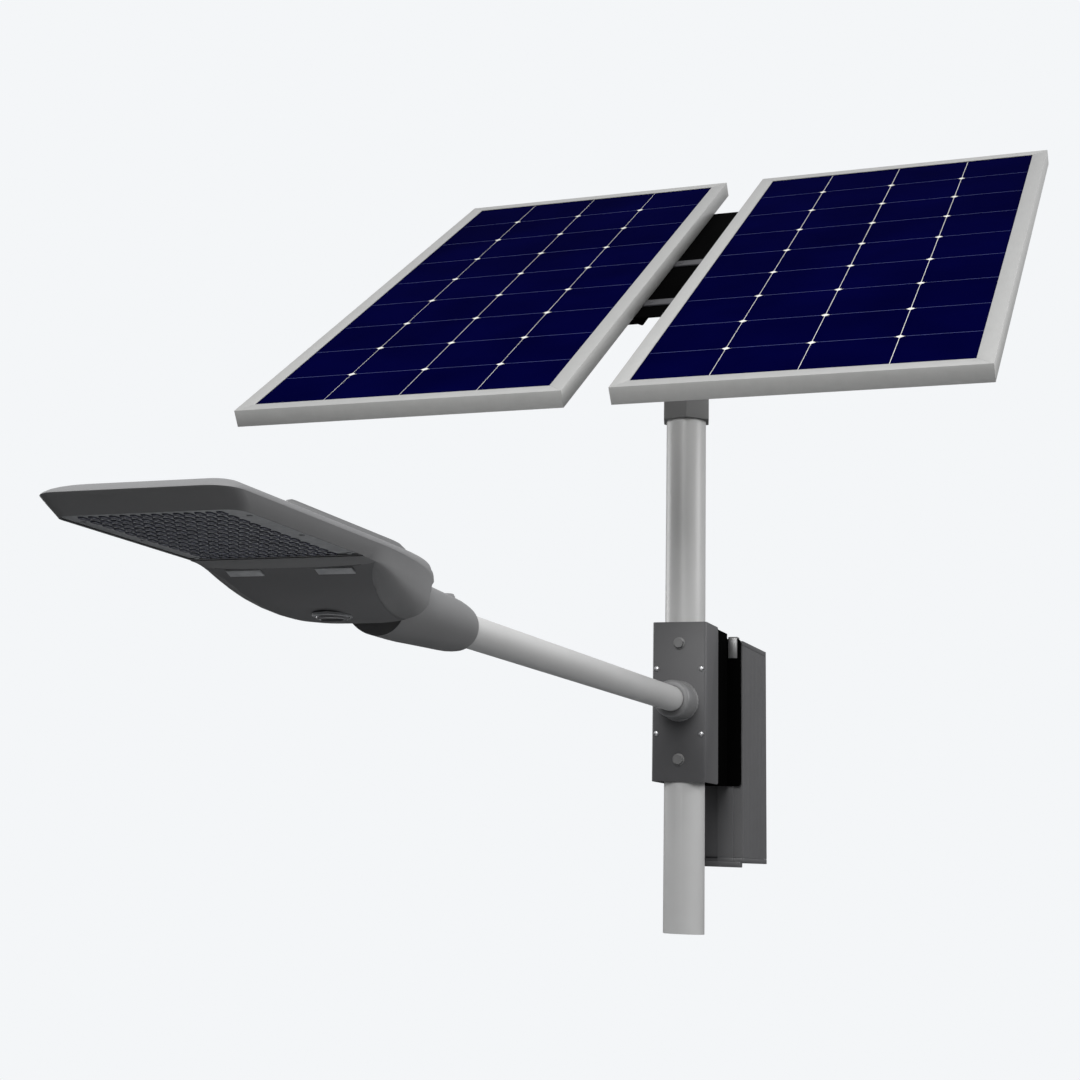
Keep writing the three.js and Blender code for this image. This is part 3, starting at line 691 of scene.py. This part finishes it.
yoke = extruded(hex_outline(COLLAR_CORNER, 2.5), "z", COLLAR_HIGH, COLLAR_HIGH + 8, 1.0, 2, 40)
for side in (-1, 1):
    outline = [(-26, COLLAR_HIGH + 4), (26, COLLAR_HIGH + 4)]
    outline += [(26 * math.cos(a), TILT_BOLT_Z + 26 * math.sin(a)) for a in
                [math.pi * k / 16 for k in range(17)]]
    x0, x1 = sorted((side * 36, side * 44))
    yoke = combine(yoke, extruded(outline, "x", x0, x1, 0.8, 2, 50), "UNION")
yoke = combine(yoke, turned("x", (0, TILT_BOLT_Z), [(8.3, -60), (8.3, 60)], 32))
piece("yoke_cheeks", [yoke], [COLLAR], "panel_mount", ["tilt_yoke"], BRACKET)
bolt = [
    hex_head("x", (0, TILT_BOLT_Z), 21.6, -64, -57.2, -1),
    disc("x", (0, TILT_BOLT_Z), 12.4, -58.4, -56.9, 0.4),
    disc("x", (0, TILT_BOLT_Z), 8, -57, 48, 0.3, 32),
    thread("x", (0, TILT_BOLT_Z), 8, 48, 64, 2, 0.9),
]
piece("yoke_bolt", bolt, [ZINC], "panel_mount", ["tilt_pivot_bolt"], BRACKET)
nut = combine(hex_head("x", (0, TILT_BOLT_Z), 21.6, 57, 67, 1),
              turned("x", (0, TILT_BOLT_Z), [(8.15, 50), (8.15, 70)], 32))
piece("yoke_nut", [nut], [ZINC], "panel_mount", ["tilt_pivot_nut"], BRACKET)

SPINE_TOP = PANEL_TOP - PANEL_D - 0.3
SPINE_HALF, SPINE_LOW, SPINE_HIGH, SPINE_DEPTH = 60, -245, 540, 47


def channel_up_slope():
    """U-shaped carrier, open below, with its bends rounded."""
    top, low = SPINE_TOP, SPINE_TOP - SPINE_DEPTH
    h, s = SPINE_HALF, 4
    points = [(-h, low), (-h, top), (h, top), (h, low), (h - s, low), (h - s, top - s),
              (-h + s, top - s), (-h + s, low)]
    outline = rounded(points, [0, 5, 5, 0, 0, 1.5, 1.5, 0], 5)
    channel = extruded(list(reversed(outline)), "y", SPINE_LOW, SPINE_HIGH, 0.7, 2, 50)
    corner = [(SPINE_LOW - 2, top - 5), (SPINE_LOW - 2, low - 2), (SPINE_LOW + 95, low - 2)]
    return combine(channel, skin([[(x, y, z) for y, z in corner] for x in (-70, 70)]))


spine = channel_up_slope()
for side in (-1, 1):
    arc = [(22 * math.cos(a), 22 * math.sin(a)) for a in [-math.pi * k / 16 for k in range(17)]]
    outline = [(34, SPINE_TOP - 3.5), (34, 30)] + arc + [(-34, 30), (-34, SPINE_TOP - 3.5)]
    x0, x1 = sorted((side * 44.5, side * 56.5))
    lug = extruded(outline, "x", x0, x1, 0.8, 2, 50)
    spine = combine(spine, lug, "UNION")
spine = combine(spine, turned("x", (0, 0), [(8.3, -70), (8.3, 70)], 32))
piece("spine_channel", [spine], [BLACK_STEEL_AND_SHADE], "panel_array", ["carrier_spine"], ARRAY)

RAIL_AT, RAIL_W, RAIL_DEEP, RAIL_SHEET, RAIL_REACH = (-160, 120, 470), 40, 36, 3, 690
for where, side in (("left", -1), ("right", 1)):
    for index, at in enumerate(RAIL_AT, 1):
        x0, x1 = sorted((side * (SPINE_HALF + 0.3), side * RAIL_REACH))
        lo, hi, top = at - RAIL_W / 2, at + RAIL_W / 2, SPINE_TOP
        points = [(lo, top), (hi, top), (hi, top - RAIL_SHEET), (lo + RAIL_SHEET, top - RAIL_SHEET),
                  (lo + RAIL_SHEET, top - RAIL_DEEP), (lo, top - RAIL_DEEP)]
        outline = rounded(points, [4, 0, 0, 1.2, 0, 0], 5)
        rail = extruded(outline, "x", x0, x1, 0.5, 2, 50)
        piece(f"rail_{where}_{index}", [rail], [BLACK_STEEL_AND_SHADE], "panel_array",
              [f"panel_rail_{where}_{index}"], ARRAY)

for index, at in enumerate(RAIL_AT[:2], 1):
    base = SPINE_TOP + 0.3
    strap = [box(-44, 44, at - 18, at + 18, base, base + 3.4, 0.8, 2)]
    for x in (-30, 30):
        strap.append(hex_head("z", (x, at), 9, base + 3.2, base + 4.0, 1))
    piece(f"strap_{index}", strap, [STRAP], "panel_array",
          [f"spine_strap_{index}"], ARRAY)

# ---- lamp head -------------------------------------------------------------------------------

LAMP_HALF, LAMP_FRONT, SHOULDER, LAMP_REAR_END = 123, -2205, -1830, -1492
PLATE_SIDE, PLATE_AHEAD, PLATE_BACK = 8.4, 42, -1828
HINGE, LATCH_AT, LAMP_PIVOT = (-1806, 12), (0, -1690), (-1540, 10)


def bezier(a, b, c, d, steps):
    points = []
    for k in range(1, steps + 1):
        t = k / steps
        s = 1 - t
        points.append(tuple(a[i] * s ** 3 + 3 * b[i] * s * s * t + 3 * c[i] * s * t * t + d[i] * t ** 3
                            for i in (0, 1)))
    return points


def lamp_plan(side, ahead, behind):
    """Outline of the lamp seen from above, drawn in from its sides, its front and its neck."""
    w = LAMP_HALF - side
    front = LAMP_FRONT + ahead
    corner = max(20.0, 33 - side * 1.4)
    neck = 60 - behind
    end = LAMP_REAR_END - behind * 0.6
    half = [(0.0, front), (w * 0.35, front), (w - corner, front)]
    half += bezier((w - corner, front), (w - corner * 0.42, front), (w, front + corner * 0.42),
                   (w, front + corner), 9)
    half += [(w, front + corner + (SHOULDER - front - corner) * k / 8) for k in range(1, 9)]
    half += bezier((w, SHOULDER), (w, -1725), (neck + 44, -1592), (neck, end - 20), 18)
    half += [(neck - 1, end - 7), (neck - 4, end - 1.5), (neck - 10, end), (neck * 0.3, end)]
    half.append((0.0, end))
    return half + [(-x, y) for x, y in reversed(half[1:-1])]


def lamp_loft(levels):
    return skin([[(x, y, z) for x, y in lamp_plan(side, ahead, behind)]
                 for z, side, ahead, behind in levels])


def lamp_crown():
    """Upper half: an underside that slopes up to a sharp rim, then a low crown."""
    return lamp_loft([
        (11.4, 7, 41.4, 2.2), (11.2, 6.2, 40, 1.6), (16, 4, 31.5, 0.8), (21, 2.2, 21.5, 0.3),
        (26, 0.9, 11.5, 0), (29.6, 0.2, 4.6, 0), (30.5, 0, 3.6, 0), (31.5, 0.4, 4.4, 0.1),
        (34, 2, 9, 0.3), (37.5, 6.5, 17, 0.6), (41, 13, 26, 1), (44, 20, 35, 1.6),
        (47, 28.5, 47, 2.6), (49.5, 37, 60, 4.5), (51.2, 47, 74, 8), (52, 58, 90, 14),
    ])


def belly_low(y):
    """Height of the belly's lowest line at a station along the lamp."""
    line = [(-1856, 10.4), (-1840, 8.6), (-1825, 4), (-1810, -2), (-1790, -11), (-1765, -21),
            (-1735, -30), (-1705, -36), (-1675, -39.3), (-1645, -40.3), (-1615, -38),
            (-1590, -32.5), (-1572, -26)]
    for (a, za), (b, zb) in zip(line, line[1:]):
        if y <= b:
            t = max(0.0, (y - a) / (b - a))
            return za + (zb - za) * t
    return line[-1][1]


def plan_half_width(y):
    points = lamp_plan(0, 0, 0)
    count = len(points) // 2 + 1
    for (xa, ya), (xb, yb) in zip(points[2:count], points[3:count]):
        if ya <= y <= yb and yb > ya:
            return xa + (xb - xa) * (y - ya) / (yb - ya)
    return points[count - 3][0]


def belly_half_width(y):
    """The belly starts as narrow as the rim's lower edge and swells to the full width."""
    t = min(1.0, max(0.0, (y + 1860) / 85))
    return plan_half_width(y) - 6 * (1 - t * t * (3 - 2 * t)) - 0.4


def belly(inset, top=30.0):
    """Lower part of the lamp: boxy bowl under the rear of the head."""
    loops = []
    stations = [-1856 + inset, -1848, -1840, -1830, -1820, -1810, -1800, -1790, -1778, -1765, -1750,
                -1735, -1720, -1705, -1690, -1675, -1660, -1645, -1630, -1615, -1602, -1590,
                -1581, -1573 - inset]
    for y in stations:
        w = belly_half_width(y) - inset
        low = min(belly_low(y) + inset * 0.9, 10.3)
        power = 2 / (3.6 if y > -1750 else 2.8 + 0.8 * max(0, (y + 1856) / 106))
        wide = plan_half_width(y) - inset - 0.3
        loop = [(wide, y, top)]
        for k in range(33):
            t = math.pi * k / 32
            c, s = math.cos(t), math.sin(t)
            x = math.copysign(abs(c) ** power, c) * w
            loop.append((x, y, 10.4 - (10.4 - low) * abs(s) ** power))
        loop.append((-wide, y, top))
        loops.append(loop)
    return skin(loops)


def side_prism(points, half=160):
    return skin([[(x, y, z) for y, z in points] for x in (-half, half)])


def cover_region(gap):
    """Side view of the space that belongs to the driver cover. The housing's cheeks end on it."""
    stations = [-1824, -1812, -1800, -1790, -1775, -1760, -1735, -1705, -1675, -1645, -1615,
                -1595, -1577]
    edge = [(y, belly_low(y) + 4.4 + gap) for y in stations]
    edge[0] = (-1824 - gap, edge[0][1])
    edge[-1] = (-1577 + gap, edge[-1][1])
    return side_prism(edge + [(-1577 + gap, -70), (-1824 - gap, -70)])


def front_lip():
    """What stays in front of the cover when the inside of the housing is hollowed out."""
    slope = [(y, belly_low(y) + 2.4) for y in (-1858, -1848, -1840, -1832, -1824)]
    lip = side_prism([(-1862, -60), (-1824.5, -60), (-1824.5, 12.7), (-1862, 12.7)])
    return combine(lip, side_prism(slope + [(-1824, 30), (-1858, 30)], 104))


cavity = lamp_loft([(10.9, 8, 41.6, 5), (12, 8, 41.6, 5), (30, 8, 43, 5), (38, 14, 48, 6),
                    (44, 27, 62, 8), (47.5, 38, 76, 12)])
housing = combine(lamp_crown(), combine(belly(0), cover_region(0.5)), "UNION")
housing = combine(housing, combine(cavity, front_lip()))
housing = combine(housing, combine(belly(3.5, 20), front_lip()))
housing = combine(housing, turned("x", HINGE, [(20.4, -100), (20.4, 100)], 48))
slant = side_prism([(-1639, -60), (-1450, -60), (-1450, 44), (-1482, 44)], 90)
housing = combine(housing, slant)
mouth = box(-53, 53, -1530, -1470, -60, 46.5, 0)
housing = combine(housing, mouth)
for side in (-1, 1):
    x0, x1 = sorted((side * 47.5, side * 57))
    housing = combine(housing, disc("x", LAMP_PIVOT, 15, x0, x1, 0.5), "UNION")
housing = combine(housing, turned("x", LAMP_PIVOT, [(6.2, -90), (6.2, 90)], 32))
fins = []
for k in range(9):
    x = (k - 4) * 20
    side_view = [(-1996, 44), (-1988, 55), (-1978, 57.6), (-1970, 58), (-1690, 58), (-1672, 57.2),
                 (-1652, 53), (-1640, 44)]
    fins.append(skin([[(x + s * 1.4, y, z) for y, z in side_view] for s in (-1, 1)]))
fins = [bevel(fin, 0.7, 2, 25) for fin in fins]
piece("lamp_shell", [housing] + fins, [CASTING], "lamp", ["lamp_housing"], BRACKET, 28)

latch_hole = turned("z", LATCH_AT, [(22, -60), (22, 0)], 48)
cover = combine(combine(belly(0.15, 24), latch_hole), belly(2.6, 26))
cover = combine(cover, cover_region(0), "INTERSECT")
extras = []
rim = turned("z", LATCH_AT, [(22.1, -35.5), (22.1, -38.4), (22.9, -39.2), (24.4, -39.4), (26, -38.8),
                               (26.6, -37), (26.6, -35.5)], 64, closed=True)
extras.append(paint(rim, 1))
for x0, x1 in ((-86, -38), (36, 86)):
    high, low = belly_low(-1822) - 0.7, belly_low(-1809) - 0.7
    tab = side_prism([(-1822, high), (-1809, low), (-1809, low + 2), (-1822, high + 2)], 1)
    tab.transform(Matrix.Translation(((x0 + x1) / 2, 0, 0)) @ Matrix.Diagonal(((x1 - x0) / 2, 1, 1, 1)))
    extras.append(paint(bevel(tab, 0.5, 2), 1))
for x in (-30, 30):
    ear = side_prism([(-1811, belly_low(-1811) + 1.5), (-1797, belly_low(-1797) + 1.5), (-1802, 12),
                      (-1806, 16.4), (-1810, 12)], 1)
    ear.transform(Matrix.Translation((x, 0, 0)) @ Matrix.Diagonal((5, 1, 1, 1)))
    extras.append(paint(bevel(ear, 0.4, 1), 0))
knuckle = turned("x", HINGE, [(4.6, -60), (5, -59.4), (5, 59.4), (4.6, 60), (2.7, 60), (2.7, -60)],
                 32, closed=True)
extras.append(paint(knuckle, 0))
# The bowl, its ears and hinge knuckle take the darker copy of the casting grey, painted shade on the
# lamp's underside.
piece("driver_bowl", [cover] + extras, [SHADED_COVER_GREY, LENS_PLATE], "cover",
      ["driver_cover"], BRACKET, 28)

latch = turned("z", LATCH_AT, [(0.01, -42.4), (12, -42.3), (17.4, -41.8), (18.6, -41.2)], 64)
profile = [(18.6, -41.2), (19.4, -42.2), (20.4, -42), (21, -41), (21, -31.5), (20, -31), (18.6, -31)]
edge = turned("z", LATCH_AT, profile, 64, closed=True)
grip = box(-15, 15, -1693, -1687, -45.6, -40.6, 1.6, 3)
parts = [paint(latch, 0), paint(edge, 1), paint(grip, 0)]
piece("latch_knob", parts, [LATCH, ZINC], "latch", ["cover_latch"], BRACKET)

# Lens plate with its field of moulded lenses.
LENS_COLUMNS, LENS_ROWS, LENS_PITCH_X, LENS_PITCH_Y, LENS_MID = 14, 12, 13.2, 24.6, -2004


def clipped_plan(inset, back):
    """Lens plate's outline, drawn in by inset, with a straight rear edge."""
    outline = lamp_plan(PLATE_SIDE + inset, PLATE_AHEAD + inset, 10)
    w = LAMP_HALF - PLATE_SIDE - inset
    right = [(x, y) for x, y in outline if y < back - 14 and x >= 0]
    left = [(x, y) for x, y in outline if y < back - 14 and x < 0]
    rear = [(w, back - 8), (w - 2.4, back - 2.4), (w - 8, back)]
    return right + rear + [(-x, y) for x, y in reversed(rear)] + left


plate = extruded(clipped_plan(0, PLATE_BACK), "z", 13, 18, 0.9, 2, 40)
lenses = []
for column in range(LENS_COLUMNS):
    for row in range(LENS_ROWS):
        cx = (column - (LENS_COLUMNS - 1) / 2) * LENS_PITCH_X - 4
        cy = LENS_MID + (row - (LENS_ROWS - 1) / 2) * LENS_PITCH_Y
        loops = []
        for grow, z in ((1.0, 13.3), (0.96, 12.3), (0.82, 11.4), (0.55, 10.9), (0.25, 10.8)):
            loop = []
            for k in range(16):
                a = 2 * math.pi * k / 16
                c, s = math.cos(a), math.sin(a)
                px = math.copysign(abs(c) ** 0.5, c) * 4.2 * grow
                py = math.copysign(abs(s) ** 0.5, s) * 9.4 * (0.25 + 0.75 * grow)
                loop.append((cx + px, cy + py, z))
            loops.append(loop)
        lenses.append(paint(skin(loops), 1))
screws = []
for x in (-103, 103):
    for y in (-2118, -1992, -1866):
        dome = [(3.4, 13.2), (3.4, 12.2), (2.6, 11.6), (0.4, 11.5)]
        screws.append(paint(turned("z", (x, y), dome, 20), 0))
piece("lens_panel", [plate] + lenses + screws, [LENS_PLATE, LENS], "lamp",
      ["lens_plate"], BRACKET)

# Inside of the lamp, seen when the cover is open.
board = extruded(clipped_plan(9, PLATE_BACK - 9), "z", 24, 26, 0.3, 1, 40)
chips = []
for column in range(LENS_COLUMNS):
    for row in range(LENS_ROWS):
        cx = (column - (LENS_COLUMNS - 1) / 2) * LENS_PITCH_X - 4
        cy = LENS_MID + (row - (LENS_ROWS - 1) / 2) * LENS_PITCH_Y
        chips.append(paint(box(cx - 1.7, cx + 1.7, cy - 1.7, cy + 1.7, 23.2, 24.1, 0.2, 1), 1))
piece("led_circuit", [board] + chips, [BOARD, LENS], "lamp", ["led_board"], BRACKET)

driver = [box(-38, 38, -1790, -1640, 0.4, 30, 3, 3)]
for k in range(9):
    y = -1775 + k * 15
    driver.append(box(-38.2, 38.2, y - 1.5, y + 1.5, 0, 31, 0.5, 1))
piece("driver_module", driver, [HEAT_SINK], "lamp", ["led_driver"], BRACKET)

block = [box(-24, 24, -1628, -1596, 12, 26, 1, 2)]
for k in range(4):
    x = -18 + k * 12
    block.append(box(x - 4.6, x + 4.6, -1625, -1599, 24, 32, 1, 2))
    block.append(turned("z", (x, -1612), [(2.4, 12.5), (2.4, 11.2), (0.3, 11.2)], 16))
piece("terminal_strip", block, [PLASTIC], "lamp", ["terminal_block"], BRACKET)

gasket = combine(extruded(clipped_plan(0.4, PLATE_BACK - 0.4), "z", 18.3, 20.7, 0.5, 2, 40),
                 extruded(clipped_plan(6, PLATE_BACK - 6), "z", 10, 30, 0))
piece("lens_seal", [gasket], [RUBBER], "lamp", ["lens_gasket"], BRACKET)
pin = disc("x", HINGE, 2.3, -64, 64, 0.5, 32)
piece("bowl_hinge_pin", [pin], [ZINC], "lamp", ["cover_hinge_pin"], BRACKET)

# ---- sleeve between arm and lamp --------------------------------------------------------------

START = -1262
profile = [
    (26.4, START), (31.5, START), (33.6, START - 1.2), (35, START - 4), (36, START - 10),
    (37.6, START - 22), (39.2, START - 38), (40.3, START - 60), (42, START - 110),
    (44.2, START - 170), (45.6, START - 205), (46, START - 230),
    (46, -1576), (21, -1576), (21, -1334), (25.8, -1334), (25.8, START - 0.8),
]
sleeve = turned("y", (0, 0), profile, 96, closed=True)
boss = turned("z", (0, START - 43), [(12, 34), (10.6, 40.5), (9.4, 42.2), (8.8, 43.8), (7.8, 44.5)], 40)
sleeve = combine(sleeve, boss, "UNION")
sleeve = combine(sleeve, turned("z", (0, START - 43), [(4.3, 22), (4.3, 60)], 24))
sleeve = combine(sleeve, box(-60, 60, -1600, -1480, 32, 60, 0))
sleeve = combine(sleeve, side_prism([(-1600, -60), (-1544, -60), (-1576, 33), (-1600, 33)], 60))
sleeve = combine(sleeve, turned("x", LAMP_PIVOT, [(6.3, -60), (6.3, 60)], 32))
piece("arm_sleeve", [sleeve], [CASTING], "root", ["spigot_sleeve"], BRACKET)

screw_y = START - 43
grub = disc("z", (0, screw_y), 4, 25.7, 43.6, 0.4, 24)
grub = combine(grub, hex_head("z", (0, screw_y), 4, 40, 48, 1))
piece("sleeve_screw", [grub], [ZINC], "root", ["sleeve_clamp_screw"], BRACKET)
pivot = disc("x", LAMP_PIVOT, 6, -58.8, 58.8, 0.8, 40)
piece("sleeve_pivot_bolt", [pivot], [ZINC], "root", ["lamp_pivot_bolt"], BRACKET)

# ---- parts shown as the frame has them ---------------------------------------------------------

PACK = coated("battery_wrap", (0.02, 0.05, 0.14), 0.3, 500, 0.00004, 0.1)
for node, material in (("battery_pack", PACK), ("charge_controller", PLASTIC)):
    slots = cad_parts[node].material_slots
    for entry in slots:
        entry.material = material

# ---- camera, light and floor ----------------------------------------------------------------

def set_camera():
    yaw, pitch, roll = 0.40196, 0.23247, 0.036455
    data = bpy.data.cameras.new("photo_camera")
    data.sensor_width = 36
    data.lens = 64.53
    data.shift_x, data.shift_y = 0.100, -0.125
    data.clip_end = 100
    turn = Matrix.Rotation(yaw, 3, "Z") @ Matrix.Rotation(pitch, 3, "X")
    right, forward, up = (turn @ Vector(v) for v in ((1, 0, 0), (0, 1, 0), (0, 0, 1)))
    c, s = math.cos(roll), math.sin(roll)
    level, top = right * c + up * s, up * c - right * s
    camera = bpy.data.objects.new("photo_camera", data)
    matrix = Matrix((level, top, -forward)).transposed().to_4x4()
    matrix.translation = Vector((1.07425, -3.91738, 0.11915))
    camera.matrix_world = matrix
    bpy.context.scene.collection.objects.link(camera)
    bpy.context.scene.camera = camera


def area_light(name, place, target, size, power):
    data = bpy.data.lights.new(name, "AREA")
    data.shape = "SQUARE"
    data.size = size
    data.energy = power
    light = bpy.data.objects.new(name, data)
    light.location = place
    light.rotation_euler = (Vector(target) - Vector(place)).to_track_quat("-Z", "Y").to_euler()
    bpy.context.scene.collection.objects.link(light)


def set_world():
    world = bpy.data.worlds.new("studio")
    bpy.context.scene.world = world
    world.use_nodes = True
    nodes, links = world.node_tree.nodes, world.node_tree.links
    nodes.clear()
    out = nodes.new("ShaderNodeOutputWorld")
    mix = nodes.new("ShaderNodeMixShader")
    path = nodes.new("ShaderNodeLightPath")
    seen = nodes.new("ShaderNodeBackground")
    seen.inputs["Color"].default_value = (0.905, 0.921, 0.938, 1)
    lit = nodes.new("ShaderNodeBackground")
    coords = nodes.new("ShaderNodeTexCoord")
    split = nodes.new("ShaderNodeSeparateXYZ")
    links.new(coords.outputs["Generated"], split.inputs[0])
    height = spread(nodes, links, split.outputs["Z"], 0, 1)
    height.node.inputs["From Min"].default_value = -1
    sky = ramp(nodes, links, height, [(0.42, (0.05, 0.05, 0.052)), (0.66, (0.7, 0.705, 0.72))])
    aim = nodes.new("ShaderNodeVectorMath")
    aim.operation = "DOT_PRODUCT"
    aim.inputs[1].default_value = (-0.3, -0.95, 0.05)
    links.new(coords.outputs["Generated"], aim.inputs[0])
    dim = spread(nodes, links, aim.outputs["Value"], 1.0, 0.8)
    dim.node.inputs["From Min"].default_value = 0.2
    dim.node.inputs["From Max"].default_value = 0.95
    links.new(sky, lit.inputs["Color"])
    power = nodes.new("ShaderNodeMath")
    power.operation = "MULTIPLY"
    power.inputs[1].default_value = 0.8
    links.new(dim, power.inputs[0])
    links.new(power.outputs[0], lit.inputs["Strength"])
    links.new(path.outputs["Is Camera Ray"], mix.inputs[0])
    links.new(lit.outputs[0], mix.inputs[1])
    links.new(seen.outputs[0], mix.inputs[2])
    links.new(mix.outputs[0], out.inputs[0])


def add_floor():
    """Pale disc under the pole that fades out into the backdrop."""
    mesh = bpy.data.meshes.new("floor")
    part = bmesh.new()
    bmesh.ops.create_circle(part, cap_ends=True, segments=96, radius=3.6)
    part.transform(Matrix.Translation((0, 0, -1.6)))
    part.to_mesh(mesh)
    part.free()
    floor = bpy.data.objects.new("floor", mesh)
    bpy.context.scene.collection.objects.link(floor)
    material, nodes, links, shader = new_material("floor")
    vector = coordinates(nodes, links)
    cloud = noise(nodes, links, vector, 3, 2)
    stops = [(0, (0.80, 0.81, 0.82)), (1, (0.82, 0.83, 0.84))]
    links.new(ramp(nodes, links, cloud, stops), shader.inputs["Base Color"])
    shader.inputs["Roughness"].default_value = 0.9
    length = nodes.new("ShaderNodeVectorMath")
    length.operation = "LENGTH"
    links.new(vector, length.inputs[0])
    fade = spread(nodes, links, length.outputs["Value"], 0, 1)
    fade.node.inputs["From Min"].default_value = 3.4
    fade.node.inputs["From Max"].default_value = 0.6
    links.new(fade, shader.inputs["Alpha"])
    mesh.materials.append(material)


set_camera()
set_world()
add_floor()
area_light("key", (5.0, 0.2, 2.6), (0, -0.6, 0.8), 2.6, 150)
area_light("front", (0.3, -5.6, 3.2), (0, 0, 0.6), 3.0, 255)
area_light("overhead", (0.5, -0.5, 5.5), (0, -0.6, 0.8), 3.0, 22)
area_light("rim", (-4.6, 1.2, 1.6), (0, 0, 0.8), 2.4, 85)
bpy.context.scene.view_settings.view_transform = "Standard"
